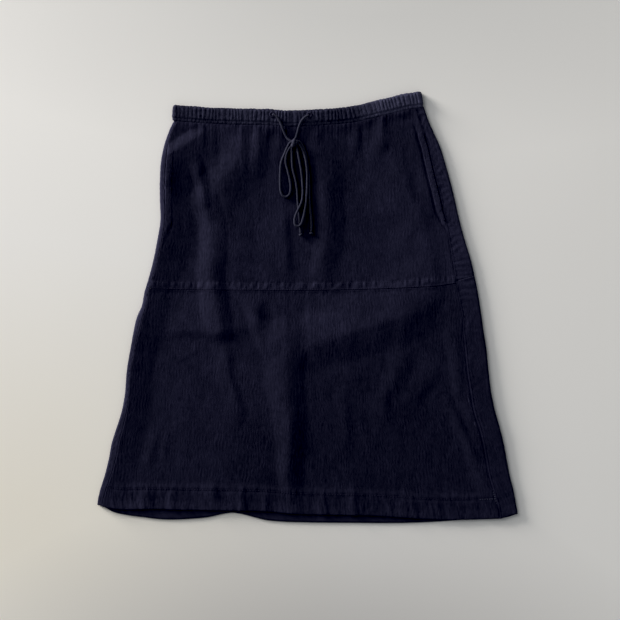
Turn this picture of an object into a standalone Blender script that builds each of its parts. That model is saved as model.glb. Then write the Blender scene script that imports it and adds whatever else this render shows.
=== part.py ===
"""A knee-length A-line skirt in crinkled cotton, laid flat on its back.

It has a gathered waistband with a drawstring tied in a bow, an upper and a lower panel front and
back, a pocket in each side seam and a turned-up hem. It lies as a flattened tube: the back panels
rest on the floor and wrap round both sides onto the top, where they meet the front panels at the
side seams. X runs across the skirt, Y up to the waist, Z up from the floor.
"""

import math
from collections import namedtuple

import bmesh
import bpy
import numpy as np

# All sizes below are millimetres; the meshes are made in metres.
MM = 0.001

# Cloth
CLOTH = 1.2  # one layer of crinkled cotton
HEM_CLOTH = 2.0  # the hem, where the cloth is turned up
LAYER_GAP = 0.7  # least air between the back and the front
REST_HEIGHT = 2 * CLOTH + LAYER_GAP  # the front's outer face where it lies flat on the back
SEAM_GAP = 0.3  # between pieces that are sewn together
HEM_DEPTH = 31.0
SEAM_ALLOWANCE = 8.0  # pressed up under the upper panel and stitched down
SEAM_RAISE = 0.8  # how far the allowance lifts the upper panel
STITCH_GROOVE = 0.6

# Waistband
BAND_HEIGHT = 24.0
BAND_THICK = 3.0
BAND_BACK_Z = BAND_THICK / 2
BAND_FRONT_Z = 6.3
BAND_END_DROP = 1.2  # how much shorter the band is where it folds at its two ends
BAND_GATHERS = 62  # on the front; the underside lies flat and has half as many
BAND_GATHER_RISE = 1.2
CASING_STITCH = 7.4  # from the band's middle down to the casing's stitched line
BACK_WAIST_GAP = 0.9  # the back's long straight edges need more room under the curved band
YOKE_GATHERS = 50
YOKE_GATHER_RISE = 1.1
YOKE_GATHER_FADE = 30.0

# Pocket openings, in the side seams of the upper panels
Pocket = namedtuple("Pocket", "top bottom slit")
POCKET_LEFT = Pocket(top=240.0, bottom=104.0, slit=0.9)
POCKET_RIGHT = Pocket(top=264.0, bottom=131.0, slit=1.8)
POCKET_EASE = 14.0
WELT_WIDTH = 9.5
WELT_THICK = 1.1
WELT_LIFT = 0.35
WELT_CROWN = 0.25

# Drawstring
CORD = 3.5
CORD_STEP = 9.0
EYELET_LEFT = (-53.0, 288.6)
EYELET_RIGHT = (2.5, 287.6)
EYELET_OUTER = 4.6
EYELET_INNER = 2.6
EYELET_THICK = 1.0
KNOT = (-20.2, 247.0)
KNOT_SIZE = (8.4, 9.4, 6.6)
TIP_SIZE = (5.4, 6.4, 4.8)
TIP_GAP = 0.4

# Colours and roughness of the three materials
COTTON = ((0.0075, 0.0072, 0.0180), 0.92)
CORD_COTTON = ((0.0140, 0.0140, 0.0300), 0.85)
THREAD = ((0.0120, 0.0120, 0.0280), 0.70)

# The skirt's outline, from the waist to the hem. left and right are its side edges, strip_left and
# strip_right how far in from the edge the side seam lies, and loft_left and loft_right how high
# the rolled edge stands.
Side = namedtuple("Side", "y left right strip_left strip_right loft_left loft_right")
SIDES = [
    Side(300, -199.5, 175.0, 5, 13.0, 7.0, 7.0),
    Side(280, -201.0, 181.5, 5, 13.5, 7.0, 6.6),
    Side(265, -207.5, 188.0, 5, 14.5, 7.0, 6.2),
    Side(241, -215.3, 198.8, 6, 17.0, 7.0, 6.0),
    Side(217, -219.8, 206.3, 8, 19.0, 7.0, 6.0),
    Side(193, -221.3, 213.0, 8, 20.0, 7.0, 6.0),
    Side(163, -221.3, 220.5, 8, 20.0, 7.0, 6.0),
    Side(130, -220.5, 228.0, 7, 21.0, 7.0, 6.0),
    Side(97, -225.8, 237.0, 7, 24.0, 6.6, 6.0),
    Side(67, -231.8, 246.0, 6, 27.5, 6.6, 6.0),
    Side(40, -239.3, 252.0, 6, 29.5, 7.0, 6.0),
    Side(25, -243.8, 255.0, 6, 30.0, 8.0, 6.0),
    Side(1, -248.8, 258.8, 7, 29.0, 9.0, 6.0),
    Side(-14, -255.5, 261.0, 9, 28.5, 9.4, 6.0),
    Side(-35, -260.3, 264.0, 9, 30.0, 9.4, 6.0),
    Side(-59, -264.8, 267.8, 7, 31.0, 9.0, 6.0),
    Side(-95, -270.8, 271.5, 6, 31.0, 8.4, 6.5),
    Side(-131, -273.8, 276.0, 6, 30.0, 7.6, 7.0),
    Side(-158, -279.0, 282.0, 8, 31.0, 7.0, 7.0),
    Side(-179, -285.8, 288.0, 10, 30.0, 6.6, 7.0),
    Side(-203, -293.3, 294.0, 11, 30.0, 6.6, 6.6),
    Side(-227, -297.8, 298.5, 11, 30.0, 6.4, 6.2),
    Side(-251, -303.8, 303.0, 10, 30.0, 6.2, 6.0),
    Side(-275, -311.3, 309.0, 9, 29.0, 6.0, 6.0),
    Side(-295, -315.0, 312.8, 8, 27.0, 5.6, 5.6),
    Side(-309, -315.0, 315.0, 8, 26.0, 5.6, 5.6),
    Side(-325, -315.0, 315.0, 8, 26.0, 5.6, 5.6),
]

# Lines that cross the skirt, as (x, y) points from left to right
BAND_CENTRE = [
    (-202, 291.4), (-150, 287.7), (-101, 285.9), (-70, 285.4), (-23, 283.0), (19.5, 285.0),
    (67, 289.3), (98, 296.5), (119, 301.5), (145, 307.8), (172.5, 312.0),
]
FRONT_SEAM = [
    (-245, 28.5), (-190, 27.0), (-112, 26.3), (0, 26.3), (55, 28.5), (110, 31.0), (155, 33.0),
    (200, 35.5), (225, 39.0),
]
FRONT_HEM = [
    (-307, -298.0), (-290, -300.5), (-240, -300.2), (-173, -301.5), (-117, -302.4), (-60, -303.9),
    (-20, -307.5), (43, -308.8), (101, -310.0), (135, -312.0), (170, -314.5), (205, -316.5),
    (250, -316.6), (289, -315.8),
]
BACK_HEM = [
    (-315, -295.5), (-306, -298.5), (-293, -305.5), (-270, -311.0), (-245, -314.4),
    (-221, -317.2), (-173, -316.5), (-149, -314.2), (-125, -309.0), (-113, -307.5),
    (-101, -309.0), (-77, -315.0), (-65, -318.0), (-41, -320.6), (0, -322.0), (60, -322.6),
    (150, -322.6), (187, -321.2), (235, -318.2), (280, -316.5), (300, -314.0), (315, -309.0),
]

# The back's crosswise seam, by how far round the skirt each height is
BACK_SEAM_LEFT = 29.0
BACK_SEAM_MIDDLE = 30.0
BACK_SEAM_EDGE = 47.0
BACK_SEAM_RIGHT = 40.0

# The large folds of the front. Each is a soft ridge, or a trough where height is negative, along a
# crest through a few points. left and right are its half widths on the two sides of the way it
# runs, and start and end the share of its height that it has at its ends.
Fold = namedtuple("Fold", "crest height left right start end")
FOLDS = {
    "left_hip_crease": Fold([(-214, 234), (-184, 248), (-154, 263)], 4.5, 8, 11, 1.0, 0.3),
    "left_gather_hollow": Fold([(-140, 255), (-137, 240), (-140, 222)], -3.0, 14, 14, 0.6, 0.2),
    "hip_arm_left": Fold([(-180, 224), (-170, 196), (-161, 172)], 3.5, 9, 9, 0.1, 0.8),
    "hip_arm_right": Fold([(-106, 262), (-114, 222), (-138, 192), (-158, 168)], 5.0, 12, 11, 0.6, 0.7),
    "left_long_ridge": Fold(
        [(-163, 178), (-156, 125), (-152, 60), (-148, 10), (-131, -34)], 8.5, 13, 22, 0.8, 0.1
    ),
    "bow_ridge": Fold([(6, 258), (16, 205), (26, 130), (29, 60), (27, 15)], 7.0, 14, 17, 0.4, 0.2),
    "under_bow_trough": Fold([(-26, 175), (-24, 120), (-20, 50)], -2.0, 13, 13, 0.3, 0.2),
    "right_yoke_ridge": Fold([(139, 262), (150, 205), (158, 150), (164, 100)], 5.0, 16, 28, 0.4, 0.1),
    "right_gather": Fold([(92, 268), (94, 240), (92, 205)], 3.5, 9, 12, 0.9, 0.1),
    "centre_hem_ridge": Fold(
        [(-62, -8), (-41, -62), (-28, -120), (-26, -190), (-22, -310)], 11.5, 15, 36, 0.1, 0.9
    ),
    "centre_hem_trough": Fold([(1, -62), (0, -140), (1, -310)], -3.5, 12, 8, 0.3, 1.0),
    "diagonal_ridge": Fold(
        [(10, -60), (49, -45), (90, -35), (131, -19), (166, -1), (190, 18)], 8.5, 46, 17, 0.5, 0.2
    ),
    "right_streak": Fold([(134, -36), (127, -70), (117, -108)], 4.0, 9, 9, 0.5, 0.1),
    "right_diagonal": Fold([(206, -34), (204, -92), (186, -126), (164, -142)], 5.0, 10, 17, 0.3, 0.2),
    "right_hem_crease": Fold([(212, -140), (232, -186), (254, -240), (266, -268)], 4.0, 9, 8, 0.3, 0.2),
    "middle_dimple": Fold([(-66, 0), (-65, -8)], -4.0, 9, 9, 1.0, 1.0),
    "left_panel_arc": Fold([(-218, -83), (-182, -66), (-126, -55)], 3.0, 14, 9, 0.2, 0.4),
    "left_thin_crease": Fold([(-121, -52), (-119, -92), (-108, -124), (-99, -155)], 3.5, 7, 13, 0.5, 0.2),
    "left_edge_hollow": Fold([(-236, 10), (-238, -60), (-252, -150)], -2.5, 14, 14, 0.4, 0.3),
    "left_hem_ridge": Fold([(-240, -186), (-246, -245), (-250, -296)], 3.5, 14, 14, 0.2, 0.8),
    "left_mid_swell": Fold([(-190, -110), (-185, -180), (-178, -300)], 4.0, 34, 34, 0.2, 0.7),
    "right_mid_swell": Fold([(62, -150), (72, -220), (78, -312)], 3.5, 26, 26, 0.2, 0.8),
    "right_hem_swell": Fold([(160, -190), (172, -250), (178, -312)], 3.5, 24, 24, 0.1, 0.8),
}
FOLD_TAPER = 0.35  # the share of its length over which a fold rises and dies away
FOLD_SOFTNESS = 1.5  # rounds the foot of a trough, where the cloth meets the layer below
EDGE_BLEND = 26.0  # how far in from the seam the front takes up the edge's height
WAIST_BLEND = 24.0  # and how far down from the band
WAIST_HEIGHT = BAND_FRONT_Z + CLOTH / 2

# The drawstring's stretches, as (x, y, lift) points. lift is how far it is raised off the cloth.
LEAD_LEFT = [
    (-53, 288.6, 0.4), (-50.5, 287.8, 1.0), (-46.5, 285.5, 1.2), (-42.5, 280, 0.6), (-38, 270, 0.5),
    (-33.5, 259, 0.5), (-29.6, 252.4, 1.4), (-26.6, 249.8, 2.2),
]
LEAD_RIGHT = [
    (2.5, 287.6, 0.4), (0.4, 286.6, 1.0), (-3.6, 284.4, 1.2), (-9, 278.2, 0.6), (-13.4, 268, 0.5),
    (-15.8, 258.6, 0.9), (-17.6, 253.7, 2.0),
]
LOOP_LEFT = [
    (-26.4, 246.6, 1.6), (-30.5, 241.5, 0.8), (-35, 232.5, 0.5), (-38.8, 219, 0.5), (-40.6, 202, 0.5),
    (-40.8, 184, 0.5), (-38.6, 172, 0.5), (-33, 165.6, 0.5), (-27.2, 168, 0.5), (-24.8, 177.5, 0.5),
    (-26.6, 192, 0.5), (-29.8, 205.5, 0.5), (-31.6, 217.5, 0.5), (-30.2, 229.5, 0.5),
    (-26.6, 237.6, 0.8), (-24.6, 240.2, 1.2),
]
LOOP_RIGHT = [
    (-14, 245.0, 1.8), (-8.6, 238, 0.9), (-3.6, 225, 0.5), (-1, 209, 0.6), (-0.4, 187, 0.6),
    (-1.2, 166, 1.0), (-4, 145, 4.0), (-8, 128.4, 4.8), (-13.8, 121.6, 4.8), (-18.6, 125.6, 4.8),
    (-18.2, 136, 4.8), (-13.6, 146.4, 4.8), (-8.8, 156.4, 3.8), (-6.9, 168, 1.4), (-7.4, 186, 0.5),
    (-9.8, 208, 0.5), (-13.2, 226, 0.5), (-15.6, 236.2, 0.9), (-16.2, 239.8, 1.5),
]
END_LEFT = [
    (-20.3, 239.6, 1.0), (-22.2, 231, 0.5), (-23.4, 219, 0.5), (-21.4, 205, 0.5), (-17.8, 191, 0.5),
    (-15.4, 175, 0.5), (-14.6, 159, 0.5), (-13.2, 145, 0.5), (-11.6, 130, 0.5), (-10.4, 117, 0.5),
    (-10.1, 112.6, 0.5),
]
END_RIGHT = [
    (-13.6, 250.0, 2.0), (-8.0, 246.6, 1.0), (-2.4, 236, 0.5), (2.4, 221, 0.5), (4.4, 202, 0.5),
    (4.5, 182, 0.5), (4.2, 163, 0.5), (5.2, 145, 0.5), (6.4, 130, 0.5), (6, 118.6, 0.5),
    (5.6, 114.6, 0.5),
]


def through(xs, ys):
    """A smooth curve through points, as a function: cubic pieces that share their slope."""
    xs, ys = np.array(xs, float), np.array(ys, float)
    order = np.argsort(xs)
    xs, ys = xs[order], ys[order]
    slopes = np.gradient(ys, xs)

    def at(x):
        x = np.clip(x, xs[0], xs[-1])
        i = np.clip(np.searchsorted(xs, x, side="right") - 1, 0, len(xs) - 2)
        span = xs[i + 1] - xs[i]
        t = (x - xs[i]) / span
        start = (1 + 2 * t) * (1 - t) ** 2 * ys[i] + t * (1 - t) ** 2 * span * slopes[i]
        return start + t * t * (3 - 2 * t) * ys[i + 1] + t * t * (t - 1) * span * slopes[i + 1]

    return at


def side_line(column):
    return through([row.y for row in SIDES], [getattr(row, column) for row in SIDES])


def cross_line(points):
    return through([p[0] for p in points], [p[1] for p in points])


edge_left = side_line("left")
edge_right = side_line("right")
strip_left = side_line("strip_left")
strip_right = side_line("strip_right")
loft_left = side_line("loft_left")
loft_right = side_line("loft_right")
band_centre = cross_line(BAND_CENTRE)
front_seam = cross_line(FRONT_SEAM)
front_hem = cross_line(FRONT_HEM)
back_hem = cross_line(BACK_HEM)


def soft_step(t):
    """0 to 1 as t goes from 0 to 1, level at both ends."""
    t = np.clip(t, 0, 1)
    return t * t * (3 - 2 * t)


def band_slope(x):
    return (band_centre(x + 1) - band_centre(x - 1)) / 2


def waist_low(x):
    """The band's lower edge. The band is square to its own slope."""
    return band_centre(x) - BAND_HEIGHT / 2 * np.sqrt(1 + band_slope(x) ** 2)


def seam_left(y):
    return edge_left(y) + strip_left(y)


def seam_right(y):
    return edge_right(y) - strip_right(y)


def pocket_gape(pocket, y):
    """How far the front stands back from the side seam along a pocket's opening."""
    from_top = soft_step((pocket.top - y) / POCKET_EASE)
    from_bottom = soft_step((y - pocket.bottom) / POCKET_EASE)
    return pocket.slit * from_top * from_bottom


def front_left(y):
    return seam_left(y) + SEAM_GAP + pocket_gape(POCKET_LEFT, y)


def front_right(y):
    return seam_right(y) - SEAM_GAP - pocket_gape(POCKET_RIGHT, y)


def crest_points(points, count=36):
    """Points along a smooth curve through the fold's crest points."""
    p = np.array(points, float)
    along = np.concatenate([[0], np.cumsum(np.linalg.norm(np.diff(p, axis=0), axis=1))])
    at = np.linspace(0, along[-1], count)
    return np.stack([through(along, p[:, k])(at) for k in range(2)], axis=1)


def fold_height(x, y, fold):
    """How high one fold stands at each point."""
    crest = crest_points(fold.crest)
    away = np.stack([x, y], axis=-1)[..., None, :] - crest
    apart = np.linalg.norm(away, axis=-1)
    near = apart.argmin(axis=-1)
    way = np.gradient(crest, axis=0)[near]
    off = np.take_along_axis(away, near[..., None, None], axis=-2)[..., 0, :]
    on_left = way[..., 0] * off[..., 1] - way[..., 1] * off[..., 0] > 0
    width = np.where(on_left, fold.left, fold.right)
    share = near / (len(crest) - 1)
    rise = fold.start + (1 - fold.start) * soft_step(share / FOLD_TAPER)
    fall = fold.end + (1 - fold.end) * soft_step((1 - share) / FOLD_TAPER)
    return fold.height * rise * fall * np.exp(-((apart.min(axis=-1) / width) ** 2))


def hem_share(x, y):
    """1 on the turned-up hem and 0 above it."""
    return soft_step((front_hem(x) + HEM_DEPTH + 4 - y) / 4)


def front_height(x, y):
    """The height of the front's outer face: its folds, the rolled side edges and the waist."""
    folds = sum(fold_height(x, y, fold) for fold in FOLDS.values())
    resting = REST_HEIGHT + 2 * (HEM_CLOTH - CLOTH) * hem_share(x, y - 4)
    loose = resting + (folds + np.sqrt(folds**2 + FOLD_SOFTNESS**2)) / 2
    by_left = 1 - soft_step((x - seam_left(y)) / EDGE_BLEND)
    by_right = 1 - soft_step((seam_right(y) - x) / EDGE_BLEND)
    rolled = np.where(by_left > by_right, loft_left(y), loft_right(y))
    edged = loose + np.maximum(by_left, by_right) * (rolled - loose)
    by_waist = 1 - soft_step((waist_low(x) - y) / WAIST_BLEND)
    return edged + by_waist * (WAIST_HEIGHT - edged)


def seam_relief(x, y):
    """The seam allowance stands out above the seam, and the hem's stitching lies in a groove."""
    above_seam = y - front_seam(x)
    allowance = soft_step(above_seam / 1.5) * soft_step((SEAM_ALLOWANCE + 1.2 - above_seam) / 1.2)
    from_stitching = (y - front_hem(x) - HEM_DEPTH) / 2
    return SEAM_RAISE * allowance - STITCH_GROOVE * np.exp(-(from_stitching**2))


def unevenness(k, count):
    """How strong gather number k is, from 0.5 to 1."""
    return 0.75 + 0.25 * np.sin(2.4 * k) * np.cos(0.7 * k + count)


def near_waist(x, y):
    """1 at the band's lower edge, falling to 0 where the gathers have died away."""
    return 1 - soft_step((waist_low(x) - y) / YOKE_GATHER_FADE)


def clear_scene():
    for obj in list(bpy.data.objects):
        bpy.data.objects.remove(obj, do_unlink=True)


def dress(obj, finish):
    """Give the object its own material, smooth shading, and a place in the scene."""
    colour, roughness = finish
    material = bpy.data.materials.new(obj.name + "_cotton")
    material.use_nodes = True
    shader = material.node_tree.nodes["Principled BSDF"]
    shader.inputs["Base Color"].default_value = (*colour, 1.0)
    shader.inputs["Roughness"].default_value = roughness
    shader.inputs["Metallic"].default_value = 0.0
    obj.data.materials.append(material)
    bpy.context.scene.collection.objects.link(obj)
    return obj


def add_solid(name, points, faces, finish):
    """One closed solid from points in millimetres."""
    mesh = bpy.data.meshes.new(name)
    mesh.from_pydata([tuple(float(c) * MM for c in p) for p in points], [], faces)
    shape = bmesh.new()
    shape.from_mesh(mesh)
    bmesh.ops.recalc_face_normals(shape, faces=shape.faces)
    shape.to_mesh(mesh)
    shape.free()
    mesh.shade_smooth()
    mesh.set_sharp_from_angle(angle=math.radians(60))
    return dress(bpy.data.objects.new(name, mesh), finish)


def strip_faces(upper, lower):
    """The faces between two rows of points, where one row may have twice the other's spaces."""
    if len(upper) < len(lower):
        return [face[::-1] for face in strip_faces(lower, upper)]
    step = (len(upper) - 1) // (len(lower) - 1)
    return [
        tuple(upper[step * i : step * i + step + 1]) + (lower[i + 1], lower[i])
        for i in range(len(lower) - 1)
    ]


def add_wall(name, outer, inner, finish):
    """A cloth wall between an outer and an inner face, each a list of rows of points."""
    points, faces = [], []

    def number(rows):
        numbered = []
        for row in rows:
            numbered.append(list(range(len(points), len(points) + len(row))))
            points.extend(row)
        return numbered

    top, under = number(outer), number(inner)
    for upper, lower in zip(top[:-1], top[1:]):
        faces += strip_faces(upper, lower)
    for upper, lower in zip(under[:-1], under[1:]):
        faces += [face[::-1] for face in strip_faces(upper, lower)]
    faces += [face[::-1] for face in strip_faces(top[0], under[0])]
    faces += strip_faces(top[-1], under[-1])
    for j in range(len(top) - 1):
        faces.append((top[j][0], top[j + 1][0], under[j + 1][0], under[j][0]))
        faces.append((top[j][-1], under[j][-1], under[j + 1][-1], top[j + 1][-1]))
    return add_solid(name, points, faces, finish)


def panel_rows(at_top, count, at_foot):
    """Rows as (share of the height, offset): some by the top edge, some spread, some by the foot."""
    first, last = at_top[-1], at_foot[0]
    shares = [k / count for k in range(1, count)]
    spread = [(share, first * (1 - share) + last * share) for share in shares]
    return [(0.0, offset) for offset in at_top] + spread + [(1.0, offset) for offset in at_foot]


YOKE_ROWS = panel_rows([0.0, -4.0, -11.0, -20.0], 10, [SEAM_ALLOWANCE + 1.2, SEAM_ALLOWANCE, 1.5, 0.0])
SKIRT_ROWS = panel_rows([0.0, -10.0], 15, [HEM_DEPTH + 3, HEM_DEPTH, HEM_DEPTH - 3, 12.0, 0.0])
GATHERED_ROWS = 4  # the yoke's first rows, which have two spaces to each gather


def panel_point(u, share, offset, top, foot, left, right):
    """A point of a panel: u across it, and down it by a share of its height plus an offset."""
    x = left(0) + u * (right(0) - left(0))
    for _ in range(4):
        y = top(x) + share * (foot(x) - top(x)) + offset
        x = left(y) + u * (right(y) - left(y))
    return x, y


def front_yoke():
    """The upper front panel, gathered along its top edge and open at both pockets."""
    outer, inner = [], []
    for j, (share, offset) in enumerate(YOKE_ROWS):
        per_gather = 2 if j < GATHERED_ROWS else 1
        i = np.arange(per_gather * YOKE_GATHERS + 1)
        x, y = panel_point(
            i / i[-1], share, offset,
            top=lambda x: waist_low(x) - SEAM_GAP,
            foot=lambda x: front_seam(x) + SEAM_GAP / 2,
            left=front_left,
            right=front_right,
        )
        gathered = (per_gather == 2) * (i % 2) * unevenness(i, YOKE_GATHERS) * near_waist(x, y)
        base = front_height(x, y)
        outer.append(list(zip(x, y, base + YOKE_GATHER_RISE * gathered + seam_relief(x, y))))
        inner.append(list(zip(x, y, base - CLOTH))[::per_gather])
    return add_wall("front_yoke", outer, inner, COTTON)


def front_skirt(columns=44):
    """The lower front panel, down to the turned-up hem."""
    outer, inner = [], []
    for share, offset in SKIRT_ROWS:
        x, y = panel_point(
            np.arange(columns + 1) / columns, share, offset,
            top=lambda x: front_seam(x) - SEAM_GAP / 2,
            foot=front_hem,
            left=lambda y: seam_left(y) + SEAM_GAP,
            right=lambda y: seam_right(y) - SEAM_GAP,
        )
        base = front_height(x, y)
        outer.append(list(zip(x, y, base + seam_relief(x, y))))
        thick = CLOTH + (HEM_CLOTH - CLOTH) * hem_share(x, y)
        inner.append(list(zip(x, y, base - thick)))
    return add_wall("front_skirt", outer, inner, COTTON)


# A back panel's section runs from the left seam, down round the left edge, across the floor, up
# round the right edge and in to the right seam. Each place on it is a zone and a share of it.
Place = namedtuple("Place", "zone share")
STRIP_STEPS = 2
BEND_STEPS = 4


def section_places(floor_steps):
    steps = {
        "left_strip": STRIP_STEPS,
        "left_bend": BEND_STEPS,
        "floor": floor_steps,
        "right_bend": BEND_STEPS,
        "right_strip": STRIP_STEPS,
    }
    places = [Place(zone, k / count) for zone, count in steps.items() for k in range(count)]
    return places + [Place("right_strip", 1.0)]


def section_point(place, y, depth):
    """A point of a back panel's section, depth in from its outer face: x and z."""
    left, right = loft_left(y) / 2, loft_right(y) / 2
    left_centre, right_centre = edge_left(y) + left, edge_right(y) - right
    if place.zone == "left_strip":
        return left_centre + (1 - place.share) * (seam_left(y) - left_centre), 2 * left - depth
    if place.zone == "left_bend":
        turn = math.radians(90 + 180 * place.share)
        return left_centre + (left - depth) * math.cos(turn), left + (left - depth) * math.sin(turn)
    if place.zone == "floor":
        return left_centre + place.share * (right_centre - left_centre), depth
    if place.zone == "right_bend":
        turn = math.radians(270 + 180 * place.share)
        return right_centre + (right - depth) * math.cos(turn), right + (right - depth) * math.sin(turn)
    return right_centre + place.share * (seam_right(y) - right_centre), 2 * right - depth


def back_panel(name, rows, floor_steps, top, foot, thick):
    """A back panel: flat on the floor, rolled up at both side edges, with a strip on top."""
    outer, inner = [], []
    for share, offset in rows:
        over, under = [], []
        for place in section_places(floor_steps):
            x = 0.0
            for _ in range(4):
                y = top(place, x) + share * (foot(place, x) - top(place, x)) + offset
                x, z = section_point(place, y, 0.0)
            over.append((x, y, z))
            x_inside, z_inside = section_point(place, y, thick(share, offset))
            under.append((x_inside, y, z_inside))
        outer.append(over)
        inner.append(under)
    return add_wall(name, outer, inner, COTTON)


def back_seam(place):
    """The back's crosswise seam: it climbs to the right edge and drops again to the side seam."""
    if place.zone == "right_strip":
        return BACK_SEAM_EDGE + place.share * (BACK_SEAM_RIGHT - BACK_SEAM_EDGE)
    across = {"floor": place.share, "right_bend": 1.0}.get(place.zone, 0.0)
    if across < 0.5:
        return BACK_SEAM_LEFT + 2 * across * (BACK_SEAM_MIDDLE - BACK_SEAM_LEFT)
    return BACK_SEAM_MIDDLE + (2 * across - 1) * (BACK_SEAM_EDGE - BACK_SEAM_MIDDLE)


def back_foot(place, x):
    """The back's hem. On the two strips it runs to the corners of the front's hem."""
    if place.zone == "left_strip":
        corner = front_hem(FRONT_HEM[0][0])
        return corner + place.share * (back_hem(BACK_HEM[0][0]) - corner)
    if place.zone == "right_strip":
        corner, edge = front_hem(FRONT_HEM[-1][0]), back_hem(BACK_HEM[-1][0])
        return edge + place.share * (corner - edge)
    return float(back_hem(x))


def back_yoke():
    return back_panel(
        "back_yoke", YOKE_ROWS, 8,
        top=lambda place, x: float(waist_low(x)) - BACK_WAIST_GAP,
        foot=lambda place, x: back_seam(place) + SEAM_GAP / 2,
        thick=lambda share, offset: CLOTH,
    )


def back_skirt():
    """The lower back panel. Its hem shows below the front's."""
    return back_panel(
        "back_skirt", SKIRT_ROWS, 20,
        top=lambda place, x: back_seam(place) - SEAM_GAP / 2,
        foot=back_foot,
        thick=lambda share, offset: HEM_CLOTH if share == 1.0 and offset < HEM_DEPTH else CLOTH,
    )


# A section of the waistband: x, the way it faces in degrees (90 is up, -90 is down) and its gather
Station = namedtuple("Station", "x facing gather")
BAND_BEND_STEPS = 5


def band_stations():
    """The band's sections in order: along the front, round, back along the floor, round."""
    half_depth = (BAND_FRONT_Z - BAND_BACK_Z) / 2 + BAND_THICK / 2
    first, last = BAND_CENTRE[0][0] + half_depth, BAND_CENTRE[-1][0] - half_depth
    front = np.linspace(first, last, 2 * BAND_GATHERS + 1)
    back = np.linspace(last, first, BAND_GATHERS + 1)
    turns = [180.0 * k / BAND_BEND_STEPS for k in range(1, BAND_BEND_STEPS)]
    stations = [Station(x, 90.0, i) for i, x in enumerate(front)]
    stations += [Station(last, 90.0 - turn, 0) for turn in turns]
    stations += [Station(x, -90.0, i) for i, x in enumerate(back)]
    return stations + [Station(first, -90.0 - turn, 0) for turn in turns]


def band_section(station):
    """One section of the band, seen along it: a tall narrow wall with the casing's stitched line."""
    turn = math.radians(station.facing)
    slope = float(band_slope(station.x))
    along = np.array([1.0, slope, 0.0]) / math.hypot(1.0, slope)
    up = np.array([-along[1], along[0], 0.0])
    out = math.cos(turn) * along + np.array([0.0, 0.0, math.sin(turn)])
    reach = (BAND_FRONT_Z - BAND_BACK_Z) / 2
    middle = np.array([station.x, float(band_centre(station.x)), BAND_BACK_Z + reach]) + reach * out
    half = BAND_THICK / 2
    tall = BAND_HEIGHT / 2 - BAND_END_DROP * math.cos(turn) ** 2
    on_top = (1 + math.sin(turn)) / 2
    by_eyelet = min(abs(station.x - EYELET_LEFT[0]), abs(station.x - EYELET_RIGHT[0]))
    calm = float(soft_step((by_eyelet - 5) / 5)) if station.facing == 90.0 else 1.0
    ruck = BAND_GATHER_RISE * (station.gather % 2) * unevenness(station.gather, BAND_GATHERS) * calm
    raised = ruck * on_top
    profile = [
        (-half, 1.0 - tall),
        (-half, tall - 1.0),
        (0.0, tall - 0.5 + 0.5 * ruck),
        (half - 0.4 * on_top + 0.6 * raised, tall - 1.6),
        (half + raised, 0.0),
        (half - 1.1 * on_top + 0.3 * raised, -CASING_STITCH),
        (half - 0.6 * on_top + 0.4 * raised, -CASING_STITCH - 2.2),
        (0.0, -tall),
    ]
    return [middle + thickness * out + height * up for thickness, height in profile]


def ring_faces(count, sides):
    """Faces that join count sections into a closed ring, each section with its own sides."""
    faces = []
    for a in range(count):
        b = (a + 1) % count
        for k in range(sides):
            n = (k + 1) % sides
            faces.append((a * sides + k, a * sides + n, b * sides + n, b * sides + k))
    return faces


def waistband():
    """The gathered casing, one ring laid flat: the front on top, folded at both ends."""
    sections = [band_section(station) for station in band_stations()]
    points = [point for section in sections for point in section]
    return add_solid("waistband", points, ring_faces(len(sections), len(sections[0])), COTTON)


def pocket_welt(name, pocket, edge, inward, rows=16, columns=4):
    """The stitched edge of a pocket's opening, a strip that lies on the front panel."""
    top, bottom = pocket.top - 3, pocket.bottom + 3
    outer, inner = [], []
    for j in range(rows + 1):
        y = top + (bottom - top) * j / rows
        from_end = min(1.0, 4 * j / rows, 4 * (rows - j) / rows)
        width = WELT_WIDTH * (0.82 + 0.18 * from_end)
        i = np.arange(columns + 1)
        x = edge(y) + inward * (SEAM_GAP + width * i / columns)
        base = front_height(x, np.full(columns + 1, y)) + seam_relief(x, y) + SEAM_GAP
        crown = np.sin(math.pi * i / columns)
        outer.append([(px, y, pz) for px, pz in zip(x, base + WELT_THICK + WELT_CROWN * crown)])
        inner.append([(px, y, pz) for px, pz in zip(x, base + WELT_LIFT)])
    return add_wall(name, outer, inner, COTTON)


def eyelet(name, place, sides=16):
    """A worked eyelet on the band, a flat ring that the drawstring comes out of."""
    base = BAND_FRONT_Z + BAND_THICK / 2 + SEAM_GAP
    profile = [
        (EYELET_INNER, base),
        (EYELET_INNER, base + 0.6 * EYELET_THICK),
        ((EYELET_INNER + EYELET_OUTER) / 2, base + EYELET_THICK),
        (EYELET_OUTER, base + 0.5 * EYELET_THICK),
        (EYELET_OUTER, base),
    ]
    points = []
    for a in range(sides):
        turn = 2 * math.pi * a / sides
        for radius, z in profile:
            points.append((place[0] + radius * math.cos(turn), place[1] + radius * math.sin(turn), z))
    return add_solid(name, points, ring_faces(sides, len(profile)), THREAD)


def cloth_top(x, y):
    """The highest cloth at a point of the front: the gathered band, or else the panel."""
    panel = float(front_height(x, y) + YOKE_GATHER_RISE * near_waist(x, y))
    band = max(panel, BAND_FRONT_Z + BAND_THICK / 2 + BAND_GATHER_RISE)
    on_band = float(soft_step((y - waist_low(x) + 5) / 6))
    return panel + on_band * (band - panel)


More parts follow.
